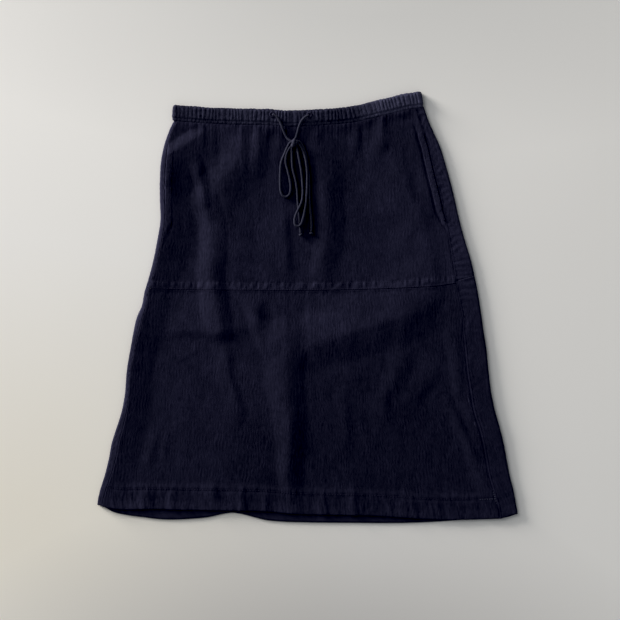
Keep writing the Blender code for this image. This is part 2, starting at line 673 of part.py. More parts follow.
def drawstring(name, points):
    """A stretch of the drawstring, a round tube on a smooth curve through its points."""
    p = np.array([(x, y, cloth_top(x, y) + CORD / 2 + lift) for x, y, lift in points])
    along = np.concatenate([[0], np.cumsum(np.linalg.norm(np.diff(p, axis=0), axis=1))])
    at = np.linspace(0, along[-1], max(6, round(along[-1] / CORD_STEP) + 1))
    route = np.stack([through(along, p[:, k])(at) for k in range(3)], axis=1)
    curve = bpy.data.curves.new(name, "CURVE")
    curve.dimensions = "3D"
    curve.bevel_depth = CORD / 2 * MM
    curve.bevel_resolution = 2
    curve.use_fill_caps = True
    spline = curve.splines.new("POLY")
    spline.points.add(len(route) - 1)
    for point, place in zip(spline.points, route):
        point.co = (*(float(c) * MM for c in place), 1.0)
    return dress(bpy.data.objects.new(name, curve), CORD_COTTON)


def knot(name, centre, size):
    """A knot, as a plain rounded lump that rests on the cloth."""
    base = cloth_top(*centre) + 2 * SEAM_GAP
    mesh = bpy.data.meshes.new(name)
    shape = bmesh.new()
    bmesh.ops.create_icosphere(shape, subdivisions=2, radius=0.5)
    for vert in shape.verts:
        x, y, z = (vert.co[k] * size[k] for k in range(3))
        vert.co = ((centre[0] + x) * MM, (centre[1] + y) * MM, (base + size[2] / 2 + z) * MM)
    shape.to_mesh(mesh)
    shape.free()
    mesh.shade_smooth()
    return dress(bpy.data.objects.new(name, mesh), CORD_COTTON)


def end_knot(name, end):
    """The small knot that stops a free end from fraying, just past its last point."""
    x, y, _ = end[-1]
    return knot(name, (x, y - TIP_SIZE[1] / 2 - TIP_GAP), TIP_SIZE)


def main():
    clear_scene()
    front_yoke()
    front_skirt()
    back_yoke()
    back_skirt()
    waistband()
    pocket_welt("pocket_welt_left", POCKET_LEFT, front_left, 1)
    pocket_welt("pocket_welt_right", POCKET_RIGHT, front_right, -1)
    eyelet("eyelet_left", EYELET_LEFT)
    eyelet("eyelet_right", EYELET_RIGHT)
    drawstring("drawstring_lead_left", LEAD_LEFT)
    drawstring("drawstring_lead_right", LEAD_RIGHT)
    drawstring("drawstring_loop_left", LOOP_LEFT)
    drawstring("drawstring_loop_right", LOOP_RIGHT)
    drawstring("drawstring_end_left", END_LEFT)
    drawstring("drawstring_end_right", END_RIGHT)
    knot("drawstring_knot", KNOT, KNOT_SIZE)
    end_knot("drawstring_tip_left", END_LEFT)
    end_knot("drawstring_tip_right", END_RIGHT)


main()
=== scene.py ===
# %% [markdown]
# This notebook dresses a plain solid model of a skirt, so that it looks like crinkled cotton laid flat
# on a pale table. The solids are loaded as a fixed frame: they say where every piece is and how large
# it is. Each step below makes one piece of cloth, cord or sewing as its own mesh, where its solid lies,
# and lets it ride on the frame.

# %% The frame
import math
from collections import namedtuple

import bpy
import numpy as np
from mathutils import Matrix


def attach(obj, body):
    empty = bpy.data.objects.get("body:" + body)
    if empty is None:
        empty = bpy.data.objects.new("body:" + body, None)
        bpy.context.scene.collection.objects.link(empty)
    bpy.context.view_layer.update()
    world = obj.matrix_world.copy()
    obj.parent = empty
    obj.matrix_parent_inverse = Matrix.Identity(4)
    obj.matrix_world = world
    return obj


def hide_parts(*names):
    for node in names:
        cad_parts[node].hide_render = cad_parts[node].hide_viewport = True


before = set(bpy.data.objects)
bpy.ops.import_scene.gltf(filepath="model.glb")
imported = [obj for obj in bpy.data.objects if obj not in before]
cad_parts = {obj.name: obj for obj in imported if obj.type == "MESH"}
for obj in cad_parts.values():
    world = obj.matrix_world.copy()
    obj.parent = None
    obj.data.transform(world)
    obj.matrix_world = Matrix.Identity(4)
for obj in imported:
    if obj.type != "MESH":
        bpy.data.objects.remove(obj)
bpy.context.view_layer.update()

MM = 0.001
print("solids:", len(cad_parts))

# %% [markdown]
# The photograph was taken from straight above, with the waist at the top. A long lens far away keeps
# the sides of the low folds out of sight, just as in the photograph. The camera is placed first, so
# that every later step can be judged through it. A phone gives such a picture firm contrast and deep
# blacks: a gamma below one and a raised black level do the same, after the light has been added up.

# %% Camera
FRAME_WIDTH = 0.930
CAMERA_HEIGHT = 2.6
CAMERA_CENTRE = (0.00375, -0.00375)
PICTURE_GAMMA = 0.8
BLACK_LEVEL = 0.016


def add_object(name, data):
    """An object that holds a camera, a lamp or a mesh, put into the scene."""
    obj = bpy.data.objects.new(name, data)
    bpy.context.scene.collection.objects.link(obj)
    return obj


camera = add_object("camera", bpy.data.cameras.new("camera"))
camera.data.lens = camera.data.sensor_width * CAMERA_HEIGHT / FRAME_WIDTH
camera.location = (*CAMERA_CENTRE, CAMERA_HEIGHT)
bpy.context.scene.camera = camera
film = bpy.context.scene.view_settings
film.view_transform = "Standard"
film.gamma = PICTURE_GAMMA
film.use_curve_mapping = True
film.curve_mapping.black_level = (BLACK_LEVEL,) * 3
film.curve_mapping.update()
print("lens in mm:", round(camera.data.lens, 1))

# %% [markdown]
# Cloth this dark shows its folds only where light grazes it. A wide lamp stands low and far away at the
# upper left, like a window, a second soft one stands higher and nearer, like a bright wall, and an even
# pale world fills the shadows. The floor is a plain sheet. Its colour has a trace of unevenness and
# three broad shades: the room darkens beyond the waist and towards the viewer, and the lower left side
# catches a warmer light.

# %% Materials are small node trees
def new_material(name, **sockets):
    """A Principled material with plain values on its sockets; returns it and its main shader."""
    material = bpy.data.materials.new(name)
    material.use_nodes = True
    shader = material.node_tree.nodes["Principled BSDF"]
    for socket, value in sockets.items():
        shader.inputs[socket.replace("_", " ")].default_value = value
    return material, shader


def feed(material, value, socket):
    """Gives a socket its value: a link where the value is another node's output."""
    if isinstance(value, bpy.types.NodeSocket):
        material.node_tree.links.new(value, socket)
    else:
        socket.default_value = value


def add_node(material, kind, inputs=None, **settings):
    """A node with its settings; inputs maps a socket's name to a value or to another node's output."""
    node = material.node_tree.nodes.new(kind)
    for setting, value in settings.items():
        setattr(node, setting, value)
    for socket, value in (inputs or {}).items():
        feed(material, value, node.inputs[socket])
    return node


# %% Floor
FLOOR_SIZE = 18.0
FLOOR_DROP = 0.0003
FLOOR_LIGHT = (0.815, 0.800, 0.775, 1.0)
FLOOR_DARK = (0.790, 0.774, 0.750, 1.0)
FloorShade = namedtuple("FloorShade", "place reach most colour")
FLOOR_SHADES = [
    FloorShade((0.08, 0.52, 0.0), (0.75, 0.30, 1.0), 0.72, (0.640, 0.632, 0.616, 1.0)),
    FloorShade((-0.46, -0.32, 0.0), (0.55, 0.42, 1.0), 0.90, (0.777, 0.742, 0.665, 1.0)),
    FloorShade((0.0, -0.62, 0.0), (0.60, 0.36, 1.0), 0.58, (0.470, 0.456, 0.442, 1.0)),
]


def floor_material():
    """Two pale tones in soft clouds. Each shade lies over them, growing to its limit at its own place."""
    material, shader = new_material("pale_floor", Roughness=0.85)
    place = add_node(material, "ShaderNodeTexCoord").outputs["Object"]
    cloudy = add_node(material, "ShaderNodeTexNoise", {"Vector": place, "Scale": 3.0, "Detail": 2.0})
    layers = [(cloudy.outputs["Fac"], FLOOR_LIGHT)]
    for shade in FLOOR_SHADES:
        around = add_node(
            material, "ShaderNodeMapping",
            {"Vector": place, "Location": shade.place, "Scale": shade.reach}, vector_type="TEXTURE",
        ).outputs["Vector"]
        near = add_node(material, "ShaderNodeTexGradient", {"Vector": around}, gradient_type="SPHERICAL")
        limits = {0: near.outputs["Fac"], 1: shade.most}
        amount = add_node(material, "ShaderNodeMath", limits, operation="MINIMUM")
        layers.append((amount.outputs["Value"], shade.colour))
    colour = FLOOR_DARK
    for amount, tone in layers:
        tones = {"Factor": amount, "A": colour, "B": tone}
        colour = add_node(material, "ShaderNodeMix", tones, data_type="RGBA").outputs["Result"]
    feed(material, colour, shader.inputs["Base Color"])
    return material


half = FLOOR_SIZE / 2
corners = [(-half, -half, 0), (half, -half, 0), (half, half, 0), (-half, half, 0)]
floor_mesh = bpy.data.meshes.new("floor")
floor_mesh.from_pydata(corners, [], [(0, 1, 2, 3)])
floor_mesh.materials.append(floor_material())
floor = add_object("floor", floor_mesh)
floor.location.z = -FLOOR_DROP
print("floor, metres across:", FLOOR_SIZE)

# %% Lights
Lamp = namedtuple("Lamp", "name place width height power colour")
LAMPS = [
    Lamp("window", (-6.0, 4.04, 1.24), 2.6, 2.1, 1005.0, (1.0, 0.97, 0.93)),
    Lamp("bright_wall", (-2.9, 2.1, 2.9), 3.3, 3.3, 87.0, (1.0, 0.98, 0.96)),
]
ROOM_COLOUR = (0.90, 0.95, 1.0, 1.0)
ROOM_STRENGTH = 0.37

for lamp in LAMPS:
    light = bpy.data.lights.new(lamp.name, "AREA")
    light.shape = "RECTANGLE"
    light.size = lamp.width
    light.size_y = lamp.height
    light.energy = lamp.power
    light.color = lamp.colour
    stand = add_object(lamp.name, light)
    stand.location = lamp.place
    stand.rotation_mode = "QUATERNION"
    stand.rotation_quaternion = (-stand.location).to_track_quat("-Z", "Y")
room = bpy.data.worlds.new("room")
room.use_nodes = True
background = room.node_tree.nodes["Background"]
background.inputs["Color"].default_value = ROOM_COLOUR
background.inputs["Strength"].default_value = ROOM_STRENGTH
bpy.context.scene.world = room
print("lights:", [lamp.name for lamp in LAMPS])

# %% [markdown]
# Everything on this skirt follows a few long lines: its two side edges, the waistband, the seam across
# the hips and the two hems. Each line is a short list of places, and a smooth curve is drawn through
# them. Writing that curve as a function lets the cloth be as fine as it needs to be.

# %% Smooth curves through a few places
def soft_step(t):
    """0 to 1 as t goes from 0 to 1, level at both ends."""
    t = np.clip(t, 0, 1)
    return t * t * (3 - 2 * t)


def bump(distance, width):
    """1 on a line and falling away on both sides of it."""
    return np.exp(-((distance / width) ** 2))


def through(xs, ys):
    """A smooth curve through points, as a function: cubic pieces that share their slope."""
    xs, ys = np.array(xs, float), np.array(ys, float)
    order = np.argsort(xs)
    xs, ys = xs[order], ys[order]
    slopes = np.gradient(ys, xs)

    def at(x):
        x = np.clip(x, xs[0], xs[-1])
        i = np.clip(np.searchsorted(xs, x, side="right") - 1, 0, len(xs) - 2)
        span = xs[i + 1] - xs[i]
        t = (x - xs[i]) / span
        start = (1 + 2 * t) * (1 - t) ** 2 * ys[i] + t * (1 - t) ** 2 * span * slopes[i]
        return start + t * t * (3 - 2 * t) * ys[i + 1] + t * t * (t - 1) * span * slopes[i + 1]

    return at


def between(a, b, share):
    """The value at a share of the way from a to b."""
    return a + share * (b - a)


def walked_along(line):
    """How far along a line each of its points lies."""
    return np.concatenate([[0], np.cumsum(np.linalg.norm(np.diff(line, axis=0), axis=1))])


def along_curve(points, step=None, count=None):
    """Evenly spaced points on a smooth curve through points of two or three coordinates."""
    p = np.array(points, float)
    walked = walked_along(p)
    at = np.linspace(0, walked[-1], count or max(6, round(walked[-1] / step) + 1))
    return np.stack([through(walked, p[:, k])(at) for k in range(p.shape[1])], axis=1)


# %% The skirt's outline
# Millimetres, from the waist to the hem: the side edges, how far in from them the side seams lie, and
# how high the rolled edges stand.
Side = namedtuple("Side", "y left right strip_left strip_right loft_left loft_right")
SIDES = [
    Side(300, -199.5, 175.0, 5, 13.0, 7.0, 7.0),
    Side(280, -201.0, 181.5, 5, 13.5, 7.0, 6.6),
    Side(265, -207.5, 188.0, 5, 14.5, 7.0, 6.2),
    Side(241, -215.3, 198.8, 6, 17.0, 7.4, 6.0),
    Side(217, -219.8, 206.3, 8, 19.0, 7.8, 6.0),
    Side(193, -221.3, 213.0, 8, 20.0, 8.0, 6.0),
    Side(163, -221.3, 220.5, 8, 20.0, 8.4, 6.0),
    Side(130, -220.5, 228.0, 7, 21.0, 8.8, 6.0),
    Side(97, -225.8, 237.0, 7, 24.0, 8.6, 6.0),
    Side(67, -231.8, 246.0, 6, 27.5, 8.2, 6.0),
    Side(40, -239.3, 252.0, 6, 29.5, 8.0, 6.0),
    Side(25, -243.8, 255.0, 6, 30.0, 8.2, 6.0),
    Side(1, -248.8, 258.8, 7, 29.0, 9.0, 6.0),
    Side(-14, -255.5, 261.0, 9, 28.5, 9.4, 6.0),
    Side(-35, -260.3, 264.0, 9, 30.0, 9.4, 6.0),
    Side(-59, -264.8, 267.8, 7, 31.0, 9.2, 6.0),
    Side(-95, -270.8, 271.5, 6, 31.0, 9.0, 6.5),
    Side(-131, -273.8, 276.0, 6, 30.0, 8.8, 7.0),
    Side(-158, -279.0, 282.0, 8, 31.0, 8.0, 7.0),
    Side(-179, -285.8, 288.0, 10, 30.0, 7.2, 7.0),
    Side(-203, -293.3, 294.0, 11, 30.0, 7.0, 6.6),
    Side(-227, -297.8, 298.5, 11, 30.0, 6.8, 6.2),
    Side(-251, -303.8, 303.0, 10, 30.0, 6.4, 6.0),
    Side(-275, -311.3, 309.0, 9, 29.0, 6.0, 6.0),
    Side(-295, -315.0, 312.8, 8, 27.0, 5.6, 5.6),
    Side(-309, -315.0, 315.0, 8, 26.0, 5.6, 5.6),
    Side(-325, -315.0, 315.0, 8, 26.0, 5.6, 5.6),
]
BAND_CENTRE = [
    (-202, 291.4), (-150, 287.7), (-101, 285.9), (-70, 285.4), (-23, 283.0), (19.5, 285.0),
    (67, 289.3), (98, 296.5), (119, 301.5), (145, 307.8), (172.5, 312.0),
]
FRONT_SEAM = [
    (-245, 28.0), (-190, 26.6), (-112, 25.8), (0, 25.4), (55, 26.2), (110, 27.8), (155, 29.6),
    (200, 32.6), (225, 36.6),
]
FRONT_HEM = [
    (-307, -298.0), (-290, -301.6), (-240, -302.3), (-173, -303.6), (-117, -304.5), (-60, -306.1),
    (-20, -309.6), (43, -311.1), (101, -312.6), (135, -314.6), (170, -316.8), (205, -318.2),
    (250, -317.6), (289, -316.2),
]
BACK_HEM = [
    (-315, -295.5), (-306, -298.5), (-293, -305.5), (-270, -311.0), (-245, -314.4),
    (-221, -317.2), (-173, -316.5), (-149, -314.2), (-125, -309.0), (-113, -307.5),
    (-101, -309.0), (-77, -315.0), (-65, -318.0), (-41, -320.6), (0, -322.0), (60, -322.6),
    (150, -322.6), (187, -321.2), (235, -318.2), (280, -316.5), (300, -314.0), (315, -309.0),
]
print("rows down the sides:", len(SIDES), "from", SIDES[0].y, "to", SIDES[-1].y)


# %% The outline as curves
def side_line(column):
    """The curve of one column of SIDES, from the waist to the hem."""
    return through([row.y for row in SIDES], [getattr(row, column) for row in SIDES])


def cross_line(places):
    """The curve through places (x, y) that run across the skirt."""
    return through([place[0] for place in places], [place[1] for place in places])


edge_left = side_line("left")
edge_right = side_line("right")
strip_left = side_line("strip_left")
strip_right = side_line("strip_right")
loft_left = side_line("loft_left")
loft_right = side_line("loft_right")
band_centre = cross_line(BAND_CENTRE)
front_seam = cross_line(FRONT_SEAM)
front_hem = cross_line(FRONT_HEM)
back_hem = cross_line(BACK_HEM)


def seam_left(y):
    return edge_left(y) + strip_left(y)


def seam_right(y):
    return edge_right(y) - strip_right(y)


print("width near the hem, mm:", round(float(edge_right(-300) - edge_left(-300)), 1))

# %% Sizes of the sewing, in millimetres
CLOTH = 1.2
HEM_CLOTH = 1.9
LAYER_GAP = 0.7
REST_HEIGHT = 2 * CLOTH + LAYER_GAP
SEAM_GAP = 0.15
HEM_DEPTH = 31.0
BAND_HEIGHT = 24.0
BAND_THICK = 3.0
BAND_BACK_Z = BAND_THICK / 2
BAND_FRONT_Z = 6.3
BAND_TOP_Z = BAND_FRONT_Z + BAND_THICK / 2


def band_slope(x):
    return (band_centre(x + 1) - band_centre(x - 1)) / 2


def waist_low(x):
    """The band's lower edge. The band is square to its own slope."""
    return band_centre(x) - BAND_HEIGHT / 2 * np.sqrt(1 + band_slope(x) ** 2)


print("waist at the middle, mm:", round(float(waist_low(0)), 1))

# %% Pocket openings
# Each opening lies in its side seam. inward is the way from the seam to the middle of the front, groove
# is how deep the stitching of its edge strip sinks, and thick is how far the strip stands up.
Pocket = namedtuple("Pocket", "top bottom slit inward groove thick")
POCKETS = {
    "left": Pocket(top=240.0, bottom=104.0, slit=0.4, inward=1, groove=0.2, thick=0.35),
    "right": Pocket(top=264.0, bottom=131.0, slit=1.7, inward=-1, groove=1.1, thick=0.9),
}
POCKET_EASE = 14.0
WELT_WIDTH = 9.5


def pocket_gape(pocket, y):
    """How far the front stands back from the side seam along a pocket's opening."""
    from_top = soft_step((pocket.top - y) / POCKET_EASE)
    from_bottom = soft_step((y - pocket.bottom) / POCKET_EASE)
    return pocket.slit * from_top * from_bottom


def front_left(y):
    return seam_left(y) + SEAM_GAP + pocket_gape(POCKETS["left"], y)


def front_right(y):
    return seam_right(y) - SEAM_GAP - pocket_gape(POCKETS["right"], y)


FRONT_EDGES = {"left": front_left, "right": front_right}
print("pocket openings, mm long:", [pocket.top - pocket.bottom for pocket in POCKETS.values()])

# %% [markdown]
# The cloth is a crinkled cotton: narrow ridges run down it, a few millimetres apart, never quite
# straight and never alike. Noise that is stretched along the cloth gives such ridges. It is worked out
# in code and moves real points, so that the crinkles stay when the light or the view changes.

# %% Noise in several sizes
# One swell of the noise is wide by tall millimetres and rises by its amount. Its seed makes it unlike
# the others.
Swell = namedtuple("Swell", "amount wide tall seed")


def lattice(i, j, seed):
    """A fixed number from 0 to 1 for each whole place (i, j)."""
    n = np.sin(i * 127.1 + j * 311.7 + seed * 74.7) * 43758.5453
    return n - np.floor(n)


def noise(x, y, seed):
    """Smooth unevenness from -1 to 1, with one swell to each unit of x and y."""
    i, j = np.floor(x), np.floor(y)
    u, v = soft_step(x - i), soft_step(y - j)
    low = lattice(i, j, seed) * (1 - u) + lattice(i + 1, j, seed) * u
    high = lattice(i, j + 1, seed) * (1 - u) + lattice(i + 1, j + 1, seed) * u
    return 2 * (low * (1 - v) + high * v) - 1


def swells(x, y, sizes, seed=0):
    """Noise of several sizes, added up."""
    return sum(size.amount * noise(x / size.wide, y / size.tall, seed + size.seed) for size in sizes)


# %% Crinkles
CRINKLE_PITCH = 4.3
CRINKLE_RISE = 0.15
CRINKLE_STRENGTH = 0.36
CRINKLE_WANDER = [Swell(3.0, 22, 26, 0), Swell(2.2, 6, 7, 1)]
CRINKLE_PATCHES = [Swell(0.44, 8, 7, 2)]
CRINKLE_GRAIN = [Swell(0.42, 1.8, 3.4, 3), Swell(0.42, 7, 15, 5), Swell(0.46, 4.0, 2.6, 4)]


def crinkle(across, down, seed):
    """The cloth's own ridges, from about -1 to 1; across and down are millimetres on the cloth."""
    wander = swells(across, down, CRINKLE_WANDER, seed)
    ridges = np.cos(2 * math.pi * (across + wander) / CRINKLE_PITCH)
    strength = CRINKLE_STRENGTH + swells(across, down, CRINKLE_PATCHES, seed)
    return strength * ridges + swells(across, down, CRINKLE_GRAIN, seed)


sample = crinkle(np.linspace(0, 200, 400), np.zeros(400), 1)
print("crinkle from", round(float(sample.min()), 2), "to", round(float(sample.max()), 2))

# %% [markdown]
# A skirt that has just been put down keeps a few large folds. Simulation would give some folds, but not
# the ones in the photograph, so they are given one by one: each is a soft ridge or hollow along a curved
# crest, wider on one side than on the other, and it rises and dies away at its ends. Their crests are
# given in pixels of the photograph, where one pixel is one and a half millimetres. Their sum is the
# height of the front.

# %% The large folds of the front
# height and the widths to the left and right of the crest are in millimetres. Where a width is a pair,
# it changes from the crest's start to its end. start and end are the shares of the height left there.
PIXEL = 1.5
PIXEL_CENTRE = 307.5
Fold = namedtuple("Fold", "crest height left right start end")
FOLDS = {
    "hip_hollow": Fold([(216, 130), (217, 146), (214, 164)], -2.2, 14, 19, 0.6, 0.4),
    "hip_arm_right": Fold(
        [(244, 128), (243, 145), (240, 160), (233, 171), (221, 181), (207, 191)],
        3.8, 46, 22, 0.5, 0.4,
    ),
    "hip_arm_left": Fold([(194, 156), (198, 170), (202, 185), (204, 202)], 3.4, 12, 13, 0.3, 0.3),
    "long_ridge": Fold(
        [
            (204, 200), (208, 212), (212, 226), (213, 252), (211, 270), (213, 286), (216, 300),
            (219, 316), (220, 330),
        ],
        5.9, (23, 20), (21, 27), 0.8, 0.6,
    ),
    "ridge_shoulder": Fold(
        [(219, 176), (225, 196), (229, 216), (230, 240), (228, 262), (230, 286)],
        4.0, (62, 90), 24, 0.8, 0.2,
    ),
    "long_ridge_tail": Fold(
        [(224, 334), (226, 352), (228, 375), (234, 395), (240, 418)],
        2.0, 12, 20, 0.5, 0.4,
    ),
    "pleat_1": Fold([(259, 122), (259, 146), (258, 170)], 2.2, 15, 13, 0.8, 0.4),
    "pleat_2": Fold([(281, 124), (279, 156)], 1.4, 9, 12, 0.9, 0.2),
    "pleat_3": Fold([(318, 122), (317, 140)], 1.0, 9, 12, 0.9, 0.2),
    "pleat_4": Fold([(356, 122), (357, 156)], 1.8, 9, 13, 0.9, 0.2),
    "pleat_5": Fold([(381, 120), (382, 138), (376, 156)], 1.8, 15, 17, 0.9, 0.3),
    "pleat_6": Fold([(424, 116), (428, 140)], 1.2, 12, 14, 0.9, 0.3),
    "bow_ridge": Fold(
        [
            (313, 140), (318, 160), (323, 180), (325, 200), (327, 220), (326, 240), (323, 260),
            (322, 280), (324, 298),
        ],
        4.2, (34, 26), (16, 22), 0.4, 0.2,
    ),
    "under_bow": Fold([(294, 205), (298, 232), (299, 270), (300, 345)], -1.5, 14, 20, 0.4, 0.6),
    "yoke_swell": Fold([(280, 200), (284, 232), (287, 262), (288, 292)], 2.0, 16, 44, 0.3, 0.3),
    "waist_shelf": Fold(
        [(236, 130), (290, 132), (345, 131), (390, 127), (426, 122)],
        1.9, 16, 88, 0.3, 0.8,
    ),
    "right_swell": Fold(
        [(398, 146), (403, 185), (422, 220), (429, 250), (431, 290)],
        3.2, 26, 60, 0.4, 0.6,
    ),
    "beside_pocket": Fold([(413, 140), (418, 160), (425, 185), (433, 212)], 1.2, 10, 16, 0.3, 0.4),
    "left_plateau": Fold(
        [(158, 334), (172, 330), (190, 329), (212, 331), (236, 329), (252, 325)],
        2.4, 50, 15, 0.4, 0.5,
    ),
    "left_wrinkle": Fold([(170, 364), (188, 355), (202, 347)], 1.0, 13, 8, 0.3, 0.5),
    "centre_top": Fold(
        [(242, 296), (251, 306), (256, 318), (258, 332), (266, 348)],
        2.6, 23, 13, 0.4, 0.8,
    ),
    "centre_ridge": Fold(
        [
            (284, 338), (286, 352), (286, 372), (288, 400), (290, 425), (289, 450), (288, 480),
            (292, 512),
        ],
        5.0, (34, 31), (42, 12), 0.6, 0.35,
    ),
    "centre_hollow": Fold([(262, 412), (266, 440), (268, 470)], -1.0, 12, 10, 0.2, 0.3),
    "dark_valley": Fold(
        [(306, 362), (306, 400), (306, 440), (308, 490), (313, 514)],
        -1.2, 9, 24, 0.5, 0.8,
    ),
    "dimple": Fold([(267, 310), (269, 318)], -1.2, 13, 13, 1.0, 1.0),
    "diagonal_edge": Fold([(306, 346), (345, 334), (390, 319), (416, 309)], 0.55, 17, 10, 0.4, 0.2),
    "diagonal_step": Fold(
        [(300, 347), (345, 334), (390, 319), (416, 309), (438, 298)], 4.9, (56, 70), (40, 46), 0.75, 0.4
    ),
    "streak_1": Fold(
        [(407, 322), (405, 340), (400, 360), (393, 380), (384, 400), (381, 420), (377, 436)],
        1.8, 24, 20, 0.5, 0.2,
    ),
    "streak_2": Fold(
        [(441, 345), (434, 366), (424, 384), (414, 402), (408, 420)],
        1.0, 15, 26, 0.3, 0.2,
    ),
    "streak_3": Fold([(346, 366), (345, 400), (346, 430), (343, 456)], 0.9, 10, 18, 0.3, 0.3),
    "side_ridge": Fold([(452, 300), (458, 330), (459, 358), (458, 392)], 2.6, 12, (34, 11), 0.3, 0.4),
    "side_crease": Fold(
        [(447, 400), (456, 416), (464, 434), (473, 453), (481, 473)],
        2.4, 9, 13, 0.4, 0.3,
    ),
    "spot_1": Fold([(391, 396), (391, 402)], -0.7, 9, 9, 1.0, 1.0),
    "spot_2": Fold([(424, 398), (425, 405)], -0.7, 9, 9, 1.0, 1.0),
    "spot_3": Fold([(446, 418), (449, 430)], -0.7, 9, 9, 1.0, 1.0),
    "left_edge_wrinkle": Fold([(157, 428), (153, 446), (147, 474)], 1.2, 13, 14, 0.3, 0.3),
    "left_edge_second": Fold([(166, 436), (163, 462)], 0.8, 8, 8, 0.3, 0.3),
    "hem_ridge": Fold([(212, 476), (214, 512)], 1.6, 12, 16, 0.2, 0.9),
    "hem_ridge_left": Fold([(146, 486), (144, 508)], 1.1, 18, 12, 0.2, 0.9),
    "hem_ridge_small": Fold([(171, 488), (171, 512)], 1.4, 9, 9, 0.4, 0.9),
    "hem_ridge_second": Fold([(242, 488), (242, 512)], 1.4, 9, 9, 0.4, 0.9),
    "hem_middle_ridge": Fold([(266, 490), (265, 514)], 1.2, 8, 9, 0.4, 0.9),
    "hem_centre_ridge": Fold([(323, 488), (323, 516)], 1.2, 9, 10, 0.4, 0.9),
    "hem_right_ridge": Fold([(353, 484), (353, 516)], 1.6, 9, 10, 0.4, 0.9),
    "hem_far_ridge": Fold([(409, 488), (406, 516)], 1.2, 12, 14, 0.4, 0.9),
}
# These cross the rolled left edge and reach the side seam.
EDGE_FOLDS = {
    "hip_crease": Fold(
        [(156, 164), (166, 158), (178, 151), (190, 143), (203, 134), (211, 127)],
        5.3, 16, 62, 0.9, 0.7,
    ),
    "hip_edge_pleat": Fold([(160, 190), (165, 182), (172, 176)], 0.9, 8, 10, 0.6, 0.2),
    "left_edge_ridge": Fold(
        [(172, 152), (170.5, 170), (170, 185), (170, 200), (170, 214)],
        0.9, 16, 9, 0.7, 0.3,
    ),
}
print("folds:", len(FOLDS), "and across the left edge:", len(EDGE_FOLDS))

# %% [markdown]
# A fold's section has two straight flanks, a rounded crest and a rounded foot, as soft cloth has. The
# section is laid across the nearest piece of the crest, so a fold may curve. Then the folds, a low
# unevenness, the rolled side edges and the waist are put together into one height for every place.

# %% The section of a fold, laid along its crest
FOLD_TAPER = 0.35
CREST_ROUND = 0.28
FOOT_ROUND = 0.14
CREST_POINTS = 28
FOLD_REACH = 1.3
SIDE_TURN = 1.3


def soft_foot(v, reach=FOOT_ROUND):
    """The positive part of a value, with its corner rounded."""
    return np.where(v < -reach, 0, np.where(v > reach, v, (v + reach) ** 2 / (4 * reach)))


def ridge_shape(t):
    """The section of a fold: 1 at its crest, where t is 0, and down to 0 near t = 1."""
    fall = np.sqrt(t**2 + CREST_ROUND**2) - CREST_ROUND
    return soft_foot(1 - fall / (math.sqrt(1 + CREST_ROUND**2) - CREST_ROUND))


def fold_height(x, y, fold):
    """How high one fold stands at each place."""
    pixels = np.array(fold.crest, float)
    places = np.stack([pixels[:, 0] - PIXEL_CENTRE, PIXEL_CENTRE - pixels[:, 1]], axis=1) * PIXEL
    crest = along_curve(places, count=CREST_POINTS)
    widths = np.array([np.broadcast_to(fold.left, 2), np.broadcast_to(fold.right, 2)], float)
    reach = widths.max() * FOLD_REACH
    low, high = crest.min(axis=0) - reach, crest.max(axis=0) + reach
    close = (x > low[0]) & (x < high[0]) & (y > low[1]) & (y < high[1])
    px, py = x[close], y[close]
    apart, share, side = np.full(px.shape, np.inf), np.zeros(px.shape), np.zeros(px.shape)
    for k, (here, there) in enumerate(zip(crest[:-1], crest[1:])):
        way, off_x, off_y = there - here, px - here[0], py - here[1]
        length = np.hypot(*way)
        t = np.clip((off_x * way[0] + off_y * way[1]) / length**2, 0, 1)
        distance = np.hypot(off_x - t * way[0], off_y - t * way[1])
        nearer = distance < apart
        apart = np.where(nearer, distance, apart)
        share = np.where(nearer, (k + t) / (len(crest) - 1), share)
        side = np.where(nearer, (way[0] * off_y - way[1] * off_x) / length, side)
    left, right = (between(*pair, share) for pair in widths)
    to_left = np.clip(SIDE_TURN * side / np.maximum(apart, 1.0), -1, 1)
    width = (left + right) / 2 + (left - right) / 2 * to_left
    rise = between(fold.start, 1, soft_step(share / FOLD_TAPER))
    fall = between(fold.end, 1, soft_step((1 - share) / FOLD_TAPER))
    height = np.zeros(x.shape)
    height[close] = fold.height * rise * fall * ridge_shape(apart / width)
    return height


# %% Height of the front
HEM_RISE = 0.9
HEM_EASE = 8.0
HEM_LEAD = 6.0
RUMPLE = [Swell(0.5, 36, 52, 21), Swell(0.22, 15, 26, 22)]
EDGE_BLEND_RIGHT = 30.0
# The rolled left edge lifts the front over a breadth that changes from the hem to the waist.
edge_blend_left = through((-320, -60, 30, 100, 170, 230, 300), (36, 36, 42, 50, 56, 46, 30))
CROSSING_EASE = 1.5
WAIST_BLEND = 18.0
WAIST_HEIGHT = BAND_FRONT_Z + CLOTH / 2 + 0.3


def hem_share(x, y):
    """1 on the turned-up hem and 0 above it."""
    return soft_step((front_hem(x) + HEM_DEPTH + HEM_LEAD - y) / HEM_EASE)


